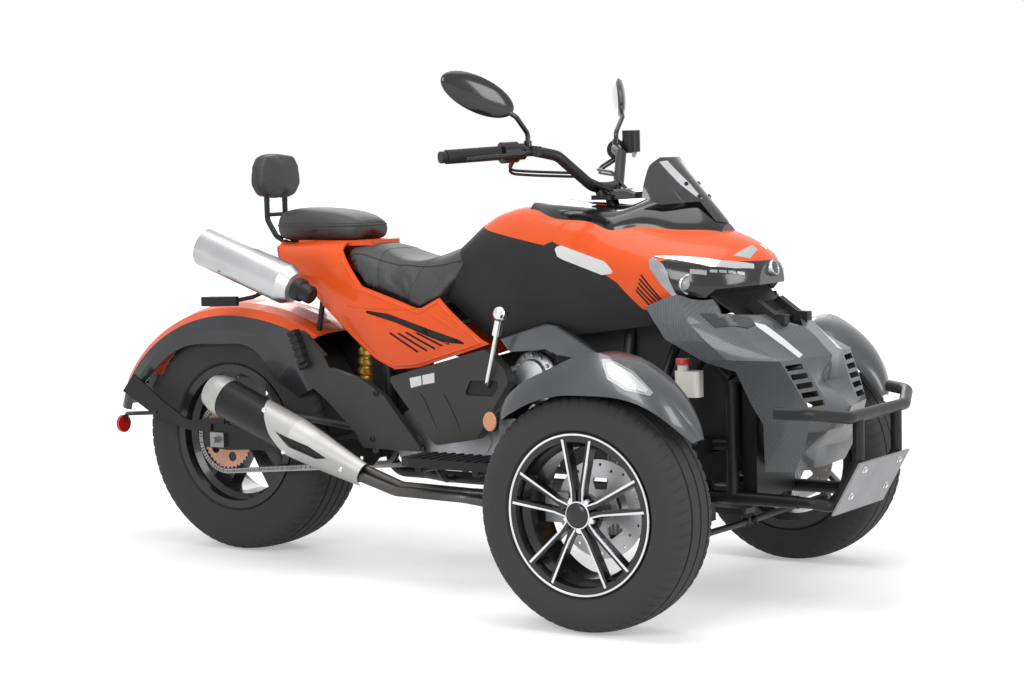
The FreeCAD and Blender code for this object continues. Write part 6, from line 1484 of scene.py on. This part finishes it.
@dataclass(frozen=True)
class TailBorders:
    """The raised borders pressed into the tail panels."""

    border: Corners = (
        (-1146, -150, 745), (-1042, -170, 672), (-912, -172, 588), (-848, -172, 565), (-768, -174, 572),
        (-558, -180, 634), (-702, -168, 738), (-758, -165, 706), (-962, -150, 765), (-1036, -140, 846))
    border_radius: float = 3.4
    border_lift: float = -0.6
    vent: Corners = ((-1010, -160, 722), (-900, -168, 718), (-745, -172, 720), (-600, -180, 650))
    vent_radius: float = 2.4
    vent_lift: float = -0.4
    facing: Point = (0.0, -0.97, 0.2)
    step: float = 0.01

    def pressed(self, skin: Skin, corners: Corners, side: int, lift: float) -> list[Vector]:
        """A line pressed onto the panel.

        Args:
            skin: The panel's surface.
            corners: The line's corners.
            side: -1 for the right, 1 for the left.
            lift: Height over the surface in millimetres.

        Returns:
            Its points.
        """
        way = Vector((self.facing[0], side * -self.facing[1], self.facing[2])).normalized()
        spots = [at(fx(x), side * -y, z) for x, y, z in corners]
        path = []
        for a, b in zip(spots, spots[1:]):
            count = max(1, round((b - a).length / self.step))
            path += [skin.press(a.lerp(b, i / count), way, lift / 1000) for i in range(count)]
        return path + [skin.press(spots[-1], way, lift / 1000)]

    def build(self) -> None:
        """Makes both borders on both sides."""
        bm = bmesh.new()
        skin = Skin("tail_panels")
        for side in BOTH_SIDES:
            add_tube(bm, self.pressed(skin, self.border, side, self.border_lift), self.border_radius, 8)
            add_tube(bm, self.pressed(skin, self.vent, side, self.vent_lift), self.vent_radius, 8)
        piece("tail_borders", bm, ORANGE, Body.ROOT)


@dataclass(frozen=True)
class EngineCover:
    """The cast round cover on the right of the engine, seen through the arch."""

    place: Point = (-436, -98, 548)
    profile: Outline = ((0, 64), (14, 64), (20, 58), (24, 44), (34, 40), (38, 30), (40, 6))
    bolts: int = 12
    bolt_circle: float = 0.052
    bolt_face: float = 0.021
    bolt_profile: Outline = ((-4, 5.4), (2, 5.4), (5.4, 4.2), (5.4, 0.6))

    def build(self) -> None:
        """Makes the cover with its ring of bolts."""
        bm = bmesh.new()
        out = Vector((0, -1, 0))
        place = at(fx(self.place[0]), self.place[1], self.place[2])
        add_turned(bm, place, out, self.profile, 48)
        for i in range(self.bolts):
            turn = 2 * math.pi * i / self.bolts
            away = Vector((math.cos(turn), 0, math.sin(turn))) * self.bolt_circle
            add_turned(bm, place + away + out * self.bolt_face, out, self.bolt_profile, 10)
        piece("engine_side_cover", bm, ALLOY, Body.ROOT)


class Seam(Enum):
    """How a cover is sewn along a line: radius and length of a stitch in millimetres, step in metres."""

    STITCH = (0.9, 5.0, 0.0078)
    PIPING = (2.3, 3.6, 0.0024)

    def form(self) -> bmesh.types.BMesh:
        """One stitch, or one short length of the piping."""
        radius, length, _ = self.value
        half = length / 2
        form = bmesh.new()
        add_turned(form, Vector(), Vector((0, 0, 1)), [
            (-half, radius * 0.5), (1 - half, radius), (half - 1, radius), (half, radius * 0.5)], 8)
        return form

    def sew(self, name: str, cover: str, cuts: Sequence[tuple[Vector, Vector]]) -> None:
        """Sews a cover where planes cut it.

        Args:
            name: The piece's name.
            cover: The cushion's name.
            cuts: A point and a normal for each plane.
        """
        finish = HIDE if self is Seam.PIPING else GRAINED
        made = []
        for place, normal in cuts:
            bm = bmesh.new()
            bm.from_mesh(bpy.data.objects[cover].data)
            geom = bm.verts[:] + bm.edges[:] + bm.faces[:]
            found = bmesh.ops.bisect_plane(bm, geom=geom, plane_co=place, plane_no=normal)["geom_cut"]
            line = bpy.data.meshes.new("seam")
            spots = {v: i for i, v in enumerate(v for v in found if isinstance(v, bmesh.types.BMVert))}
            edges = [e for e in found if isinstance(e, bmesh.types.BMEdge)]
            pairs = [(spots[e.verts[0]], spots[e.verts[1]]) for e in edges]
            line.from_pydata([tuple(v.co) for v in spots], pairs, [])
            bm.free()
            made.append(PATH_REPEAT.run(line, self.form(), finish, Step=self.value[2]))
        merge(name, made, finish)


@dataclass(frozen=True)
class Seats:
    """The saddle, the pillion and the backrest, with their piping and stitches."""

    pillion_piping: Point = (300, 0, 936)
    pillion_stitches: Point = (300, 0, 942)
    saddle_edge: Point = (640, 104, 800)
    saddle_stitches: Corners = ((560, 0, 830), (700, 0, 830))

    def cover(self) -> None:
        """The three cushions."""
        Cushion("rider_seat", "rider_cushion", 0.007, 0.012).build()
        Cushion("pillion_seat", "pillion_cushion", 0.006, 0.010).build()
        Cushion("backrest_pad", "backrest_cushion", 0.005, 0.012).build()

    def build(self) -> None:
        """Covers and sews them; the cuts' places start at the rear axle."""
        self.cover()
        up = Vector((0, 0, 1))
        for seam, name, place in ((Seam.PIPING, "pillion_piping", self.pillion_piping),
                                  (Seam.STITCH, "pillion_stitches", self.pillion_stitches)):
            seam.sew(name, "pillion_cushion", [(at(rx(place[0]), place[1], place[2]), up)])
        x, y, z = self.saddle_edge
        Seam.PIPING.sew("saddle_piping", "rider_cushion", [
            (at(rx(x), side * y, z), Vector((0, 1, -0.18 * side))) for side in BOTH_SIDES])
        Seam.STITCH.sew("saddle_stitches", "rider_cushion", [
            (at(rx(x), y, z), Vector((1, 0, slant)))
            for (x, y, z), slant in zip(self.saddle_stitches, (0.3, -0.25))])
        verts = bpy.data.objects["backrest_cushion"].data.vertices
        middle = sum((v.co for v in verts), Vector()) / len(verts)
        Seam.PIPING.sew("backrest_piping", "backrest_cushion", [(middle, Vector((1, 0, 0.12)))])


@dataclass
class Studio:
    """The pale floor, the lamps and the camera."""

    camera_place: Point = (3.4686, -4.9858, 1.1276)
    azimuth: float = math.radians(33.69)
    elevation: float = math.radians(4.955)
    roll: float = math.radians(-1.315)
    lens: float = 79.02
    floor_half: float = 40.0

    def camera(self) -> None:
        """The camera at the photograph's angle."""
        back = Vector((
            math.sin(self.azimuth) * math.cos(self.elevation),
            -math.cos(self.azimuth) * math.cos(self.elevation), math.sin(self.elevation)))
        right = Vector((0, 0, 1)).cross(back).normalized()
        up = back.cross(right)
        turned_right = right * math.cos(self.roll) + up * math.sin(self.roll)
        turned_up = up * math.cos(self.roll) - right * math.sin(self.roll)
        data = bpy.data.cameras.new("studio_camera")
        data.lens = self.lens
        data.sensor_width = 36.0
        data.clip_end = 200.0
        item = bpy.data.objects.new("studio_camera", data)
        bpy.context.scene.collection.objects.link(item)
        matrix = Matrix((turned_right, turned_up, back)).transposed().to_4x4()
        matrix.translation = Vector(self.camera_place)
        item.matrix_world = matrix
        bpy.context.scene.camera = item

    def lamp(self, name: str, place: Point, aim: Point, size: tuple[float, float], power: float) -> None:
        """A soft rectangular lamp.

        Args:
            name: The lamp's name.
            place: Where it hangs.
            aim: The point it faces.
            size: Width and height in metres.
            power: Its power in watts.
        """
        data = bpy.data.lights.new(name, "AREA")
        data.shape = "RECTANGLE"
        data.size, data.size_y = size
        data.energy = power
        item = bpy.data.objects.new(name, data)
        bpy.context.scene.collection.objects.link(item)
        item.location = place
        item.rotation_euler = (Vector(aim) - Vector(place)).to_track_quat("-Z", "Y").to_euler()

    def shown_white(self, sheet: NodeSheet) -> bpy.types.NodeSocket:
        """1 for camera, glossy and transmission rays, else 0."""
        rays = sheet.place("ShaderNodeLightPath").outputs
        seen = sheet.math("MAXIMUM", rays["Is Camera Ray"], rays["Is Glossy Ray"])
        return sheet.math("MAXIMUM", seen, rays["Is Transmission Ray"])

    def world(self) -> None:
        """A world that lights softly and is seen as white."""
        world = bpy.data.worlds.new("studio_world")
        world.use_nodes = True
        world.node_tree.nodes.clear()
        sheet = NodeSheet(world.node_tree)
        strength = sheet.place("ShaderNodeMapRange", {0: self.shown_white(sheet), 3: 0.42, 4: 1.0})
        light = sheet.place("ShaderNodeBackground", {
            "Color": (1, 1, 1, 1), "Strength": strength.outputs[0]})
        sheet.place("ShaderNodeOutputWorld", {"Surface": light.outputs[0]})
        bpy.context.scene.world = world

    def floor(self) -> None:
        """A white floor that keeps the vehicle's shadow."""
        material = bpy.data.materials.new("studio_floor")
        material.use_nodes = True
        material.node_tree.nodes.clear()
        sheet = NodeSheet(material.node_tree)
        diffuse = sheet.place("ShaderNodeBsdfDiffuse", {"Color": (0.80, 0.80, 0.80, 1)})
        where = sheet.where()
        away = sheet.place("ShaderNodeVectorMath", {0: where}, operation="LENGTH").outputs["Value"]
        lifted = sheet.math("ADD", 0.36, sheet.math("MULTIPLY", sheet.ramp(away, 2.0, 9.0), 0.70))
        strength = sheet.math("MULTIPLY", self.shown_white(sheet), lifted)
        lift = sheet.place("ShaderNodeEmission", {"Color": (1, 1, 1, 1), "Strength": strength})
        both = sheet.place("ShaderNodeAddShader", {0: diffuse.outputs[0], 1: lift.outputs[0]})
        sheet.place("ShaderNodeOutputMaterial", {"Surface": both.outputs[0]})
        half = self.floor_half
        corners = [(-half, -half, 0), (half, -half, 0), (half, half, 0), (-half, half, 0)]
        mesh = bpy.data.meshes.new("studio_floor")
        mesh.from_pydata(corners, [], [(0, 1, 2, 3)])
        mesh.materials.append(material)
        item = bpy.data.objects.new("studio_floor", mesh)
        bpy.context.scene.collection.objects.link(item)

    def build(self) -> None:
        """Sets the whole studio up."""
        bpy.context.scene.view_settings.view_transform = "Standard"
        self.camera()
        self.world()
        self.floor()
        self.lamp("top_softbox", (0.2, -0.4, 4.2), (0, 0, 0.4), (4.0, 3.0), 95.0)
        self.lamp("key_softbox", (1.0, -5.2, 3.0), (0.1, 0, 0.5), (2.6, 2.2), 120.0)
        self.lamp("nose_softbox", (5.4, -0.6, 2.2), (0.6, 0, 0.5), (2.0, 2.4), 90.0)
        self.lamp("back_softbox", (-2.6, 4.2, 3.0), (0, 0, 0.6), (3.0, 2.0), 70.0)


def main() -> None:
    """Builds the vehicle's looks and its studio."""
    logging.basicConfig(level=logging.INFO, format="%(message)s")
    dress_nodes()
    for part in (Wheels(), PanelTrim(), Lamps(), BodyDetails(), MirrorGlass(), Cockpit(), ExhaustRibs(),
                 ChainLinks(), FastenerSets(), TailBorders(), EngineCover(), Seats(), Studio()):
        LOG.info("part %s", type(part).__name__)
        part.build()


if __name__ == "__main__":
    main()
